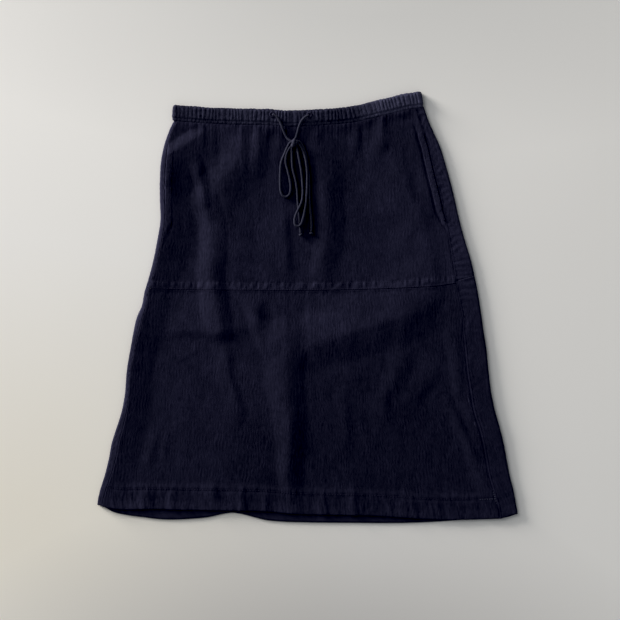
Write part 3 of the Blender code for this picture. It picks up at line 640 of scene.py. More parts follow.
def front_height(x, y):
    """The height of the front's outer face: its folds, the rolled side edges and the waist."""
    x, y = np.broadcast_arrays(np.asarray(x, float), np.asarray(y, float))
    folds = sum(fold_height(x, y, fold) for fold in FOLDS.values())
    on_hem = HEM_RISE * hem_share(x, y - 4)
    loose = REST_HEIGHT + on_hem + soft_foot(folds + swells(x, y, RUMPLE), 1.0)
    by_left = soft_foot(1 - (x - seam_left(y)) / edge_blend_left(y))
    by_right = soft_foot(1 - (seam_right(y) - x) / EDGE_BLEND_RIGHT)
    rolled = np.where(by_left > by_right, loft_left(y), loft_right(y))
    edged = between(loose, rolled, np.clip(np.maximum(by_left, by_right), 0, 1))
    crossing = sum(fold_height(x, y, fold) for fold in EDGE_FOLDS.values())
    edged = edged + crossing * soft_step((x - seam_left(y)) / CROSSING_EASE)
    by_waist = 1 - soft_step((waist_low(x) - y) / WAIST_BLEND)
    return between(edged, WAIST_HEIGHT, by_waist)


print("height at the middle of the front, mm:", round(float(front_height(0, 0)), 1))

# %% [markdown]
# Some places of the cloth are painted paler or darker than the rest: painted light and painted shade.
# Each place is a soft oval patch that adds or takes away some of the pale tone. Its centre is in pixels
# of the photograph again, and so are its half sizes across and down.

# %% Painted light and shade on the cloth
PLAIN_PALENESS = 0.5
PATCH_REACH = 1.35
Patch = namedtuple("Patch", "centre across down amount")
# A patch whose amount is above zero is painted light, and one below zero is painted shade.
LIGHT_AND_SHADE_PATCHES = [
    Patch((396, 440), 118, 98, -0.26),
    Patch((444, 326), 30, 34, -0.22),
    Patch((334, 324), 44, 20, 0.12),
    Patch((302, 430), 22, 110, -0.06),
    Patch((176, 225), 22, 90, -0.16),
    Patch((330, 210), 34, 70, -0.12),
    Patch((215, 470), 110, 50, -0.10),
    Patch((205, 285), 60, 60, 0.08),
    Patch((274, 226), 28, 62, 0.12),
    Patch((229, 205), 16, 34, -0.20),
    Patch((256, 468), 34, 62, -0.20),
    Patch((400, 250), 70, 70, 0.08),
    Patch((240, 120), 70, 26, 0.10),
]


def painted_light_and_shade(x, y):
    """How pale the cloth is painted at each place: a plain level, with patches of painted light and shade.
    """
    amount = PLAIN_PALENESS
    for patch in LIGHT_AND_SHADE_PATCHES:
        off_x = (x / PIXEL + PIXEL_CENTRE - patch.centre[0]) / patch.across
        off_y = (PIXEL_CENTRE - y / PIXEL - patch.centre[1]) / patch.down
        amount = amount + patch.amount * soft_step(PATCH_REACH - np.hypot(off_x, off_y))
    return amount


print("patches:", len(LIGHT_AND_SHADE_PATCHES), "rubbed at the middle:", round(float(painted_light_and_shade(0, 0)), 2))

# %% [markdown]
# The navy cloth is dark, matt and slightly dusty where its ridges are worn. Every point of the mesh
# carries a number that says how pale it is, and the colour follows it. The number holds that wear, and
# also painted shade in the crinkles' hollows and patches of painted light and painted shade. A fine bump
# adds the threads, which are too small for the mesh, and a little sheen gives the soft bloom of cotton.

# %% Cloth materials
THREAD_PITCH = 0.0007
THREAD_DEPTH = 0.0002
CREASE_DEPTH = 0.0006
CREASE_SCALE = (620.0, 210.0, 620.0)
SHEEN_TINT = (0.66, 0.62, 1.0, 1.0)


def woven_threads(material, place, strength):
    """A bump of fine threads that cross each other."""
    waves = [
        add_node(
            material, "ShaderNodeTexWave",
            {"Vector": place, "Scale": 2 * math.pi / 20 / THREAD_PITCH, "Distortion": 1.2, "Detail": 1.0},
            bands_direction=direction,
        ).outputs["Fac"]
        for direction in ("X", "Y")
    ]
    weave = add_node(material, "ShaderNodeMath", {0: waves[0], 1: waves[1]}, operation="MAXIMUM")
    height = weave.outputs["Value"]
    return add_node(
        material, "ShaderNodeBump", {"Height": height, "Strength": strength, "Distance": THREAD_DEPTH}
    ).outputs["Normal"]


def cotton(name, deep, lit_and_rubbed, relief):
    """A matt cotton between two tones, with small creases that run down and threads across them."""
    material, shader = new_material(name, Roughness=0.9, Sheen_Weight=0.10, Sheen_Roughness=0.4)
    shader.inputs["Sheen Tint"].default_value = SHEEN_TINT
    shader.inputs["Specular IOR Level"].default_value = 0.10
    place = add_node(material, "ShaderNodeTexCoord").outputs["Object"]
    # The 'ridge' attribute is each point's paleness: wear, and painted light and shade.
    ridge = add_node(material, "ShaderNodeAttribute", attribute_name="ridge").outputs["Fac"]
    patches = add_node(material, "ShaderNodeTexNoise", {"Vector": place, "Scale": 28.0, "Detail": 3.0})
    spread = add_node(
        material, "ShaderNodeMath", {0: patches.outputs["Fac"], 1: 0.8, 2: 0.6}, operation="MULTIPLY_ADD"
    ).outputs["Value"]
    amount = add_node(material, "ShaderNodeMath", {0: ridge, 1: spread}, operation="MULTIPLY")
    tones = {"Factor": amount.outputs["Value"], "A": deep, "B": lit_and_rubbed}
    colour = add_node(material, "ShaderNodeMix", tones, data_type="RGBA").outputs["Result"]
    feed(material, colour, shader.inputs["Base Color"])
    stretched = add_node(material, "ShaderNodeMapping", {"Vector": place, "Scale": CREASE_SCALE})
    fine = add_node(
        material, "ShaderNodeTexNoise", {"Vector": stretched.outputs["Vector"], "Scale": 1.0, "Detail": 2.0}
    ).outputs["Fac"]
    threads = woven_threads(material, place, relief * 0.5)
    creases = add_node(
        material, "ShaderNodeBump",
        {"Height": fine, "Strength": relief, "Distance": CREASE_DEPTH, "Normal": threads},
    )
    feed(material, creases.outputs["Normal"], shader.inputs["Normal"])
    return material


# %% Tones of the cotton, the cord and the thread
Tones = namedtuple("Tones", "deep rubbed relief")
COTTONS = {
    "navy_crinkle_cotton": Tones((0.0183, 0.0188, 0.0330, 1), (0.0412, 0.0408, 0.0695, 1), 0.5),
    # The band's pale tone is far paler than the cloth's, for the band's painted light.
    "navy_gathered_cotton": Tones((0.0183, 0.0188, 0.0330, 1), (0.0920, 0.0920, 0.1420, 1), 0.5),
    "navy_rolled_cord": Tones((0.0320, 0.0330, 0.0480, 1), (0.0600, 0.0610, 0.0860, 1), 0.3),
    "navy_thread": Tones((0.0240, 0.0240, 0.0400, 1), (0.0520, 0.0510, 0.0830, 1), 0.2),
    "pale_blue_thread": Tones((0.0750, 0.0800, 0.1150, 1), (0.1200, 0.1250, 0.1700, 1), 0.2),
}
materials = [cotton(name, *tones) for name, tones in COTTONS.items()]
COTTON, BAND_COTTON, CORD_COTTON, THREAD, PALE_THREAD = materials
print("materials:", list(COTTONS))


# %% Mesh helpers
def add_mesh(name, points, faces, material, ridge, slot, *nodes):
    """A smooth mesh from points in millimetres. It rides on the skirt and stands for the solids in nodes."""
    mesh = bpy.data.meshes.new(name)
    mesh.from_pydata((np.asarray(points) * MM).tolist(), [], faces)
    mesh.shade_smooth()
    mesh.materials.append(material)
    # The 'ridge' attribute keeps each point's paleness, painted light and shade included.
    shade = mesh.attributes.new("ridge", "FLOAT", "POINT").data
    shade.foreach_set("value", np.ravel(ridge).astype(np.float32))
    obj = add_object(name, mesh)
    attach(obj, "root")
    if nodes:
        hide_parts(*nodes)
    return obj


def ring_faces(rings, sides, closed):
    """Quads between rings of points, each ring closed on itself."""
    a, k = np.meshgrid(np.arange(rings if closed else rings - 1), np.arange(sides), indexing="ij")
    b, n = (a + 1) % rings, (k + 1) % sides
    quads = np.stack([a * sides + k, a * sides + n, b * sides + n, b * sides + k], axis=-1)
    return quads.reshape(-1, 4).tolist()


def end_caps(rings, sides):
    """The two faces that close the ends of a row of rings."""
    last = (rings - 1) * sides
    return [list(range(sides))[::-1], list(range(last, last + sides))]


# %% [markdown]
# The drawstring is a narrow tube of the same cotton. It comes out of two worked eyelets, is tied in a
# bow and hangs down over the cloth. Its route is a list of places, each with a lift off the cloth, and a
# smooth curve through them is thickened into a tube with a soft uneven skin.

# %% The cloth that the drawstring lies on
CORD = 3.6
PANEL_CLEAR = 0.5
GATHER_CLEAR = 0.6
BAND_CLEAR = 1.0


def cloth_top(x, y):
    """The highest cloth at a place of the front: the gathered band, or else the panel."""
    x, y = np.asarray(x, float), np.asarray(y, float)
    near_band = 1 - soft_step((waist_low(x) - y) / 30)
    panel = front_height(x, y) + PANEL_CLEAR + GATHER_CLEAR * near_band
    band = np.maximum(panel, BAND_TOP_Z + BAND_CLEAR)
    on_band = soft_step((y - waist_low(x) + 5) / 6)
    return between(panel, band, on_band)


def on_cloth(route):
    """Places (x, y, lift) as points of a cord's centreline."""
    p = np.array(route, float)
    return np.stack([p[:, 0], p[:, 1], cloth_top(p[:, 0], p[:, 1]) + CORD / 2 + p[:, 2]], axis=1)


# %% Tubes with an uneven skin
TUBE_SIDES = 12
SKIN_UNEVEN = 0.07


def tube(name, line, radius, nodes, closed=False, seed=91):
    """A tube along a line of points in millimetres, with round ends unless it is closed."""
    way = np.roll(line, -1, axis=0) - np.roll(line, 1, axis=0) if closed else np.gradient(line, axis=0)
    way /= np.linalg.norm(way, axis=1, keepdims=True)
    side = np.cross(way, [0, 0, 1.0])
    side /= np.maximum(np.linalg.norm(side, axis=1, keepdims=True), 1e-6)
    up = np.cross(side, way)
    walked = walked_along(line)[:, None]
    turn = (2 * math.pi * np.arange(TUBE_SIDES) / TUBE_SIDES)[None, :]
    round_end = np.ones(walked.shape)
    if not closed:
        from_end = np.minimum(walked, walked[-1] - walked)
        round_end = np.sqrt(np.clip(1 - np.clip(1 - from_end / radius, 0, 0.96) ** 2, 0, 1))
    skin = noise(walked / 2.0, turn * 1.3, seed) + noise(walked / 6, turn * 0, seed + 1)
    r = radius * round_end * (1 + SKIN_UNEVEN * skin)
    outward = np.cos(turn)[..., None] * side[:, None] + np.sin(turn)[..., None] * up[:, None]
    points = line[:, None] + r[..., None] * outward
    faces = ring_faces(len(line), TUBE_SIDES, closed) + ([] if closed else end_caps(len(line), TUBE_SIDES))
    ridge = 0.6 + 0.4 * noise(walked / 1.4, turn * 2, seed + 2)
    return add_mesh(name, points.reshape(-1, 3), faces, CORD_COTTON, ridge, "cord", *nodes)


# %% The drawstring's routes
# Each half leads from its eyelet to the knot and goes round one loop. The right one turns in the knot
# and ends free. The left one ends in the knot, and its free end leaves the knot as a piece of its own.
CORD_FROM_LEFT = [
    (-53, 288.6, 0.4), (-50.5, 287.8, 1.0), (-46.5, 285.5, 1.2), (-42.5, 280, 0.6), (-38, 270, 0.5),
    (-33.5, 259, 0.5), (-29.6, 252.4, 1.4), (-26.6, 249.8, 2.2), (-20.4, 247.4, 2.6),
    (-14, 245.0, 2.4), (-8.6, 238, 2.2), (-3.6, 225, 2.6), (-1, 209, 2.8), (-0.4, 187, 2.2),
    (-1.4, 166, 2.0), (-4, 145, 4.0), (-7.4, 130.4, 4.8), (-10.0, 124.2, 4.8), (-14.0, 121.4, 4.8),
    (-18.0, 123.4, 4.8), (-19.3, 128.6, 4.8), (-17.9, 137, 4.8), (-13.4, 147.4, 4.8), (-9.0, 157.4, 3.8),
    (-7.2, 168.5, 1.8), (-7.6, 186, 1.2), (-9.8, 208, 1.0), (-13.2, 226, 1.0), (-15.8, 239.4, 1.4),
    (-17.2, 244.2, 2.2), (-19.4, 247.4, 2.8),
]
CORD_END_LEFT = [
    (-21.6, 247.4, 2.6), (-23.4, 243.4, 1.8), (-23.8, 237.6, 0.8), (-23.4, 229, 0.5), (-23.1, 218, 0.5),
    (-21.6, 205, 0.5), (-19.8, 198, 0.5), (-18.0, 191, 0.5), (-16.6, 183, 0.5), (-15.6, 175, 0.5),
    (-15.0, 167, 0.5), (-14.6, 159, 0.5), (-13.2, 145, 0.5), (-11.6, 130, 0.5), (-10.1, 110.6, 0.5),
]
CORD_FROM_RIGHT = [
    (2.5, 287.6, 0.4), (0.4, 286.6, 1.0), (-3.6, 284.4, 1.2), (-9, 278.2, 0.6), (-13.4, 268, 0.5),
    (-15.8, 258.6, 0.9), (-17.6, 253.7, 2.0), (-21.2, 249.4, 3.4),
    (-26.4, 246.2, 1.6), (-29.8, 240.5, 0.8), (-34.0, 230.5, 0.5), (-38.9, 218.5, 0.5), (-40.8, 202, 0.5),
    (-40.9, 184, 0.5), (-39.9, 173.4, 0.5), (-36.6, 167.2, 0.5), (-32.4, 165.6, 0.5),
    (-28.0, 168.0, 0.5), (-25.6, 174.0, 0.5), (-25.2, 182, 0.5),
    (-26.6, 192, 0.5), (-29.8, 205.5, 0.5), (-32.6, 217.0, 0.6), (-31.6, 228.5, 0.8),
    (-27.4, 237.4, 1.0), (-24.8, 240.6, 1.3), (-22.0, 244.0, 2.6), (-18.4, 248.2, 3.4),
    (-13.0, 248.6, 1.6), (-8.4, 244.0, 0.4), (-4.4, 235, 0.2), (-1.0, 221, 0.2), (1.6, 202, 0.2),
    (2.6, 182, 0.3), (3.0, 163, 0.3), (4.2, 145, 0.3), (5.8, 130, 0.4), (6, 118.6, 0.5),
    (5.6, 112.6, 0.5),
]

# %% The drawstring
DRAWSTRING = {
    "drawstring_from_left": (CORD_FROM_LEFT, ["drawstring_lead_left", "drawstring_loop_right"]),
    "drawstring_left_end": (CORD_END_LEFT, ["drawstring_end_left"]),
    "drawstring_from_right": (
        CORD_FROM_RIGHT,
        ["drawstring_lead_right", "drawstring_loop_left", "drawstring_end_right"],
    ),
}
CORD_STEP = 0.9

cord_lines = {}
for name, (route, nodes) in DRAWSTRING.items():
    cord_lines[name] = along_curve(on_cloth(route), step=CORD_STEP)
    tube(name, cord_lines[name], CORD / 2, nodes)
    print(name, "length in mm:", round(walked_along(cord_lines[name])[-1], 1))

# %% [markdown]
# The knot is the bow's middle: one turn of the cord holds the two loops together. Each free end is
# stopped with a small overhand knot. All of them are short closed turns of the same tube.

# %% Knots
# swing and lean are degrees: how far a turn is swung round the upright, and how far it leans over.
Turn = namedtuple("Turn", "centre size swing lean lift seed radius nodes")
TURNS = {
    "bow_knot_turn": Turn((-20.6, 245.0), (3.3, 3.0, 2.6), 76, 6, 0.8, 95, 3.0, ["drawstring_knot"]),
    "bow_knot_side": Turn((-17.0, 245.4), (3.3, 3.0, 2.2), 62, -6, 0.8, 96, 2.2, []),
    "end_knot_left": Turn((-10.1, 109.0), (1.6, 3.0, 1.2), 10, 0, 0.3, 97, 1.5, ["drawstring_tip_left"]),
    "end_knot_right": Turn((5.6, 111.0), (1.6, 3.0, 1.2), -15, 0, 0.3, 98, 1.5, ["drawstring_tip_right"]),
}
TURN_POINTS = 40
TURN_TWIST = 0.16


def cord_turn(name, knot):
    """A closed turn of cord, a little twisted, that rests on the cloth."""
    turn = np.linspace(0, 2 * math.pi, TURN_POINTS, endpoint=False)
    lean, swing = math.radians(knot.lean), math.radians(knot.swing)
    x, z = knot.size[0] * np.cos(turn), knot.size[2] * np.sin(turn)
    y = TURN_TWIST * knot.size[1] * np.sin(2 * turn)
    x, z = x * math.cos(lean) - z * math.sin(lean), x * math.sin(lean) + z * math.cos(lean)
    x, y = x * math.cos(swing) - y * math.sin(swing), x * math.sin(swing) + y * math.cos(swing)
    base = float(cloth_top(*knot.centre)) + knot.lift + knot.size[2] + knot.radius
    line = np.stack([knot.centre[0] + x, knot.centre[1] + y, base + z], axis=1)
    return tube(name, line, knot.radius, knot.nodes, closed=True, seed=knot.seed)


knots = {name: cord_turn(name, knot) for name, knot in TURNS.items()}
print("knots:", list(knots))

# %% [markdown]
# A piece of cloth is a thin shell: one face outside, one inside, and a narrow rim that joins them. The
# outer face is a fine grid of places. The inside can't be seen between the crinkles, so it is smooth
# and its grid is coarser, which leaves more points for the outside.

# %% Grids of points
DOWN_STEP = 2
ACROSS_STEP = 3


def face_directions(outer):
    """The direction that each place of a grid faces, rows running down and columns to the right."""
    facing = np.cross(np.gradient(outer, axis=0), np.gradient(outer, axis=1))
    return facing / np.linalg.norm(facing, axis=-1, keepdims=True)


def grid_faces(rows, columns):
    i, j = np.meshgrid(np.arange(rows - 1), np.arange(columns - 1), indexing="ij")
    corner = i * columns + j
    quads = np.stack([corner, corner + columns, corner + columns + 1, corner + 1], axis=-1)
    return quads.reshape(-1, 4)


def grid_border(rows, columns):
    """The four edges of a grid as lists of point numbers, walked clockwise from the top left."""
    top = np.arange(columns)
    right = np.arange(rows) * columns + columns - 1
    bottom = ((rows - 1) * columns + np.arange(columns))[::-1]
    left = (np.arange(rows) * columns)[::-1]
    return top, right, bottom, left


def rim_faces(outer_shape, inner_shape):
    """Faces that join the fine outer edge to the coarse inner one, all the way round."""
    faces = []
    first = outer_shape[0] * outer_shape[1]
    borders = zip(grid_border(*outer_shape), grid_border(*inner_shape), (ACROSS_STEP, DOWN_STEP) * 2)
    for outer, inner, step in borders:
        for k in range(len(inner) - 1):
            here = outer[k * step:(k + 1) * step + 1].tolist()
            faces.append(here + [int(inner[k + 1]) + first, int(inner[k]) + first])
    return faces


# %% A shell of cloth
def shell(name, node, outer, smooth, thick, lit_and_rubbed):
    """A closed thin shell from two grids of points, with and without crinkles. It stands for one node."""
    rows, columns = outer.shape[:2]
    thick = np.broadcast_to(thick, (rows, columns))[..., None]
    inner = (smooth - face_directions(smooth) * thick)[::DOWN_STEP, ::ACROSS_STEP]
    points = np.concatenate([outer.reshape(-1, 3), inner.reshape(-1, 3)])
    faces = grid_faces(rows, columns).tolist()
    faces += (grid_faces(*inner.shape[:2])[:, ::-1] + rows * columns).tolist()
    faces += rim_faces((rows, columns), inner.shape[:2])
    lit_and_rubbed = np.broadcast_to(lit_and_rubbed, (rows, columns))
    lit_and_rubbed = np.concatenate([lit_and_rubbed.ravel(), lit_and_rubbed[::DOWN_STEP, ::ACROSS_STEP].ravel()])
    print(name, "triangles:", sum(len(face) - 2 for face in faces))
    return add_mesh(name, points, faces, COTTON, lit_and_rubbed, "cotton", node)


def shares(count, first=0.35, last=0.35, reach=0.05):
    """Shares from 0 to 1 that lie closer together near the two ends."""
    t = (np.arange(count) + 0.5) / count
    width = 1 - (1 - first) * np.exp(-t / reach) - (1 - last) * np.exp((t - 1) / reach)
    walked = np.concatenate([[0], np.cumsum(width)])
    return walked / walked[-1]


# %% Gathers, shared by the band and the cloth below it
GATHER_PITCH = 5.9
GATHER_DRIFT = [Swell(3.4, 17, 1, 0), Swell(1.5, 7, 1, 1)]
GATHER_STRENGTH = 0.66
GATHER_UNEVEN = [Swell(0.34, 8, 1, 2)]
SMALL_GATHERS_FADE = 15.0
WIDE_GATHERS_FADE = 38.0
WIDE_GATHERS_RISE = 0.8


def gather_wave(x, seed=31):
    """Rounded ridges with narrow creases between them, uneven in width and strength, from 0 to 1."""
    drift = swells(x, 0 * x, GATHER_DRIFT, seed)
    strength = GATHER_STRENGTH + swells(x, 0 * x, GATHER_UNEVEN, seed)
    return strength * np.sqrt(np.abs(np.sin(math.pi * (x + drift) / GATHER_PITCH)))


def yoke_gathers(x, y):
    """The gathers go on below the band: the small ones die away first, and every few go further."""
    below = np.maximum(waist_low(x) - y, 0)
    drift = x + 0.05 * below * noise(x / 40, below / 60, 41)
    small = (gather_wave(drift) - 0.5) * np.exp(-below / SMALL_GATHERS_FADE)
    wide = noise(drift / 7.5, below / 70, 42) * np.exp(-below / WIDE_GATHERS_FADE)
    off_sides = soft_step((x - front_left(y)) / 8) * soft_step((front_right(y) - x) / 8)
    return (small + WIDE_GATHERS_RISE * wide * soft_step(below / 6)) * off_sides


band_length = BAND_CENTRE[-1][0] - BAND_CENTRE[0][0]
print("gathers across the front:", round(band_length / GATHER_PITCH))

# %% [markdown]
# The front has an upper and a lower panel. The upper one is gathered under the band, and along its foot
# the seam allowance is pressed up and stitched down, which puckers it. The lower one ends in a deep hem
# that is stitched all round. The right side seam shows below the pocket, where its stitching draws the
# cloth in. Each of these is a small height, which is added to the height of the folds.

# %% Relief of the seam across the hips
ALLOWANCE = 10.5
ALLOWANCE_RISE = 0.5
UPPER_STITCHES = ALLOWANCE - 0.5
LOWER_STITCHES = 1.7
STITCH_SINK = 0.3
SEAM_PUCKERS = [Swell(0.70, 3.6, 9, 51), Swell(0.40, 11, 9, 52)]
EDGE_ROUND = 1.3


def edge_drop(distance, depth):
    """How far a folded or sewn edge turns down, at a distance in from it."""
    t = np.clip(1 - distance / EDGE_ROUND, 0, 1)
    return depth * t * t


def allowance_relief(x, y):
    """The pressed seam allowance above the seam, puckered between its two stitched lines."""
    above = y - front_seam(x)
    raised = ALLOWANCE_RISE * soft_step((ALLOWANCE + 2 - above) / 2.5)
    inside = soft_step(above / 5) * soft_step((ALLOWANCE + 3 - above) / 3)
    pulled = 0.25 * noise(x / 3.4, 0 * x, 53) * bump(above - ALLOWANCE, 5.0)
    stitched = bump(above - UPPER_STITCHES, 1.0) + 0.5 * bump(above - LOWER_STITCHES, 0.8)
    return raised + inside * swells(x, above, SEAM_PUCKERS) + pulled - STITCH_SINK * stitched


# %% Relief of the hem
HEM_SLANT = 0.18
HEM_PUCKERS = [Swell(0.52, 9, 40, 61), Swell(0.30, 4.2, 12, 62)]
HEM_STITCH_SINK = 0.7


def hem_relief(above_hem, x):
    """The turned-up hem: a stitched groove along its top, soft puckers that fall from it, and a lip."""
    on_hem = soft_step((HEM_DEPTH - above_hem) / 5) * soft_step((above_hem + 6) / 8)
    puckers = swells(x + HEM_SLANT * above_hem, above_hem, HEM_PUCKERS)
    over_stitching = bump(above_hem - HEM_DEPTH, 6.0) * (0.20 + 0.30 * noise(x / 4.6, 0 * x, 63))
    lip = between(0.4, 1, soft_step((-40 - x) / 80)) * soft_step(1 - above_hem / 15)
    stitched = bump(above_hem - HEM_DEPTH + 1.5, 1.6)
    return on_hem * puckers + over_stitching + lip - HEM_STITCH_SINK * stitched


# %% Relief of the pockets and of the right side seam
GROOVE_FOOT = 20.0
GROOVE_WIDTH = 2.6
SEAM_PULL = 0.95
SEAM_PULL_WIDTH = 8.0
SEAM_PULL_TOP = -42.0
SEAM_LINE = 0.6
SEAM_LINE_WIDTH = 2.4


def pocket_groove(x, y):
    """The stitched line that holds each pocket's edge strip sinks into the cloth and ends in the seam."""
    sunk = 0
    for side, pocket in POCKETS.items():
        low_end = pocket.bottom - GROOVE_FOOT
        away = (WELT_WIDTH + 0.8) * soft_step((y - low_end) / 34) ** 0.7
        along = soft_step((y - low_end) / 8) * soft_step((pocket.top + 14 - y) / 10)
        inward = (x - FRONT_EDGES[side](y)) * pocket.inward
        sunk = sunk + pocket.groove * along * bump(inward - away, GROOVE_WIDTH)
    return sunk


def below_right_pocket(y):
    return soft_step((POCKETS["right"].bottom + 4 - y) / 14)


def seam_line(inward, y):
    """The stitched line of the right side seam, below the pocket."""
    uneven = 0.75 + 0.45 * noise(y / 16, 0 * y, 54)
    return below_right_pocket(y) * SEAM_LINE * uneven * bump(inward, SEAM_LINE_WIDTH)


def seam_groove(inward, y):
    """The right side seam on the front: its line, and lower down the front falls softly to it."""
    pulled = SEAM_PULL * soft_step((SEAM_PULL_TOP - y) / 35) * bump(inward, SEAM_PULL_WIDTH)
    return seam_line(inward, y) + below_right_pocket(y) * pulled


# %% Front, upper panel
# The four edges of a panel are curves that depend on each other, so its places are found in rounds.
PLACE_ROUNDS = 5


def yoke_surface(x, y):
    """Height of the upper panel and how far its crinkles stand out. Sewing pulls the crinkles flat."""
    ridge = crinkle(x, y, 11)
    below_band = np.maximum(waist_low(x) - y, 0)
    calm = 1 - 0.45 * np.exp(-below_band / 12) - 0.8 * bump(y - front_seam(x), 1.6)
    sewn = allowance_relief(x, y) - pocket_groove(x, y) - seam_groove(front_right(y) - x, y)
    return front_height(x, y) + CRINKLE_RISE * ridge * calm + yoke_gathers(x, y) + sewn, ridge


def lay_panel(across, down, top, foot, left, right):
    """Places of a panel: across and down are shares, and the four edges are curves."""
    u, v = np.meshgrid(across, down)
    x = between(left(0.0), right(0.0), u)
    for _ in range(PLACE_ROUNDS):
        y = between(top(x), foot(x), v)
        x = between(left(y), right(y), u)
    return x, y


x, y = lay_panel(
    shares(459, reach=0.012), shares(128),
    top=lambda x: waist_low(x) + 2.2,
    foot=lambda x: front_seam(x) + SEAM_GAP,
    left=front_left,
    right=front_right,
)
z, ridge = yoke_surface(x, y)
smooth = np.stack([x, y, front_height(x, y)], axis=-1)
z -= edge_drop(x - front_left(y), 0.4) + edge_drop(front_right(y) - x, 0.6)
z -= 0.3 * bump(np.maximum(waist_low(x) - y, 0), 3.2)
z -= 0.9 * soft_step((y - waist_low(x) + 0.4) / 1.2)
above = y - front_seam(x)
# The seam allowance is painted 0.12 paler: a painted highlight on its raised strip.
on_allowance = soft_step(above / 2) * soft_step((ALLOWANCE + 2 - above) / 2)
# The crinkles' ridges are paler, which is wear, and their hollows darker, which is painted shade.
lit_and_rubbed = painted_light_and_shade(x, y) + 0.3 * ridge + 0.12 * on_allowance
outer = np.stack([x, y, z], axis=-1)
front_yoke = shell("front_yoke_cloth", "front_yoke", outer, smooth, CLOTH, lit_and_rubbed)

# %% Front, lower panel
# Its top edge goes on as a seam allowance under the upper panel, so no gap shows at the seam.
UNDERLAP = 7.0
UNDERLAP_DROP = 1.35
UNDERLAP_CLOTH = 0.5


def skirt_surface(x, y):
    """Height of the lower panel and how far its crinkles stand out."""
    ridge = crinkle(x + 0.02 * x * (y - 26) / 300, y, 12)
    below_seam = front_seam(x) - y
    calm = 1 - 0.8 * bump(below_seam, 1.6)
    puckers = 0.22 * noise(x / 4, y / 5, 64) * bump(below_seam - 4, 3.5)
    by_seam = puckers + ALLOWANCE_RISE * soft_step(1 - below_seam / 4.5)
    hem = hem_relief(y - front_hem(x), x)
    relief = CRINKLE_RISE * ridge * calm + hem + by_seam - seam_groove(seam_right(y) - x, y)
    tucked = soft_step(-0.5 - below_seam)
    return front_height(x, y) + between(relief, -UNDERLAP_DROP, tucked), ridge


def skirt_rows():
    """Shares down the lower panel: a few on the tucked allowance, then closer near the seam and the hem."""
    tucked = UNDERLAP / 334
    body = shares(133, first=0.4, last=0.45, reach=0.06)
    on_tuck = np.linspace(0, tucked, 5)[:-1]
    return np.concatenate([on_tuck, [tucked * 1.06], tucked * 1.12 + (1 - tucked * 1.12) * body])


x, y = lay_panel(
    shares(597, reach=0.012), skirt_rows(),
    top=lambda x: front_seam(x) + UNDERLAP,
    foot=front_hem,
    left=lambda y: seam_left(y) + SEAM_GAP,
    right=lambda y: seam_right(y) - SEAM_GAP,
)
z, ridge = skirt_surface(x, y)
tucked = soft_step(y - front_seam(x) - 0.5)
smooth = np.stack([x, y, front_height(x, y) - tucked * UNDERLAP_DROP], axis=-1)
z -= edge_drop(y - front_hem(x), 0.5) + edge_drop(x - seam_left(y), 0.5) + edge_drop(seam_right(y) - x, 0.5)
thick = between(between(CLOTH, HEM_CLOTH, hem_share(x, y)), UNDERLAP_CLOTH, tucked)
# The crinkles' ridges are paler, which is wear, and their hollows darker, which is painted shade.
lit_and_rubbed = painted_light_and_shade(x, y) + 0.3 * ridge
outer = np.stack([x, y, z], axis=-1)
front_skirt = shell("front_skirt_cloth", "front_skirt", outer, smooth, thick, lit_and_rubbed)

# %% [markdown]
# The back is made of two panels as well. They lie on the table, roll up round both side edges and come
# in over the top to the side seams, where a seam allowance goes on under the front. Their section is
# followed from side to side, so the crinkles run round the rolled edges without a break. The side that
# rests is pressed flat by the table.

# %% The back's section
# The section has seven stretches, from the left seam round under the skirt to the right seam.
ZONES = ("under_left", "strip_left", "bend_left", "floor", "bend_right", "strip_right", "under_right")
EDGE_LEAN = 0.8


def by_zone(zone, otherwise=0.0, **values):
    """For each place the value that is given for its own zone."""
    return np.select([zone == ZONES.index(name) for name in values], list(values.values()), otherwise)


def section_places(counts):
    """Zone numbers and shares for the places round a section, from the right seam to the left one."""
    zone = np.repeat(np.arange(len(ZONES)), counts)
    share = np.concatenate([np.arange(count) / count for count in counts])
    return np.append(zone, zone[-1])[::-1], np.append(share, 1.0)[::-1]


def section_points(zone, share, y):
    """x and z of the back's outer face, for places whose y is known."""
    left, right = loft_left(y) / 2, loft_right(y) / 2
    left_centre, right_centre = edge_left(y) + left, edge_right(y) - right
    start, end = seam_left(y) - SEAM_GAP, seam_right(y) + SEAM_GAP
    turn_left = math.radians(90) + math.pi * share
    turn_right = math.radians(270) + math.pi * share
    x = by_zone(
        zone,
        under_left=start + (1 - share) * UNDERLAP,
        strip_left=between(left_centre, start, 1 - share),
        bend_left=left_centre + left * np.cos(turn_left),
        floor=between(left_centre, right_centre, share),
        bend_right=right_centre + right * np.cos(turn_right),
        strip_right=between(right_centre, end, share),
        under_right=end - share * UNDERLAP,
    )
    z = by_zone(
        zone,
        under_left=2 * left - UNDERLAP_DROP * soft_step((1 - share) * UNDERLAP),
        strip_left=2 * left - EDGE_LEAN * share,
        bend_left=(left - EDGE_LEAN / 2) * (1 + np.sin(turn_left)),
        bend_right=right + right * np.sin(turn_right),
        strip_right=2 * right,
        under_right=2 * right - UNDERLAP_DROP * soft_step(share * UNDERLAP),
    )
    return x, z


# %% The back's seam and hem
BACK_SEAM_GAP = 0.05
BackSeam = namedtuple("BackSeam", "left middle edge right")
BACK_SEAM = BackSeam(29.0, 30.0, 47.0, 40.0)


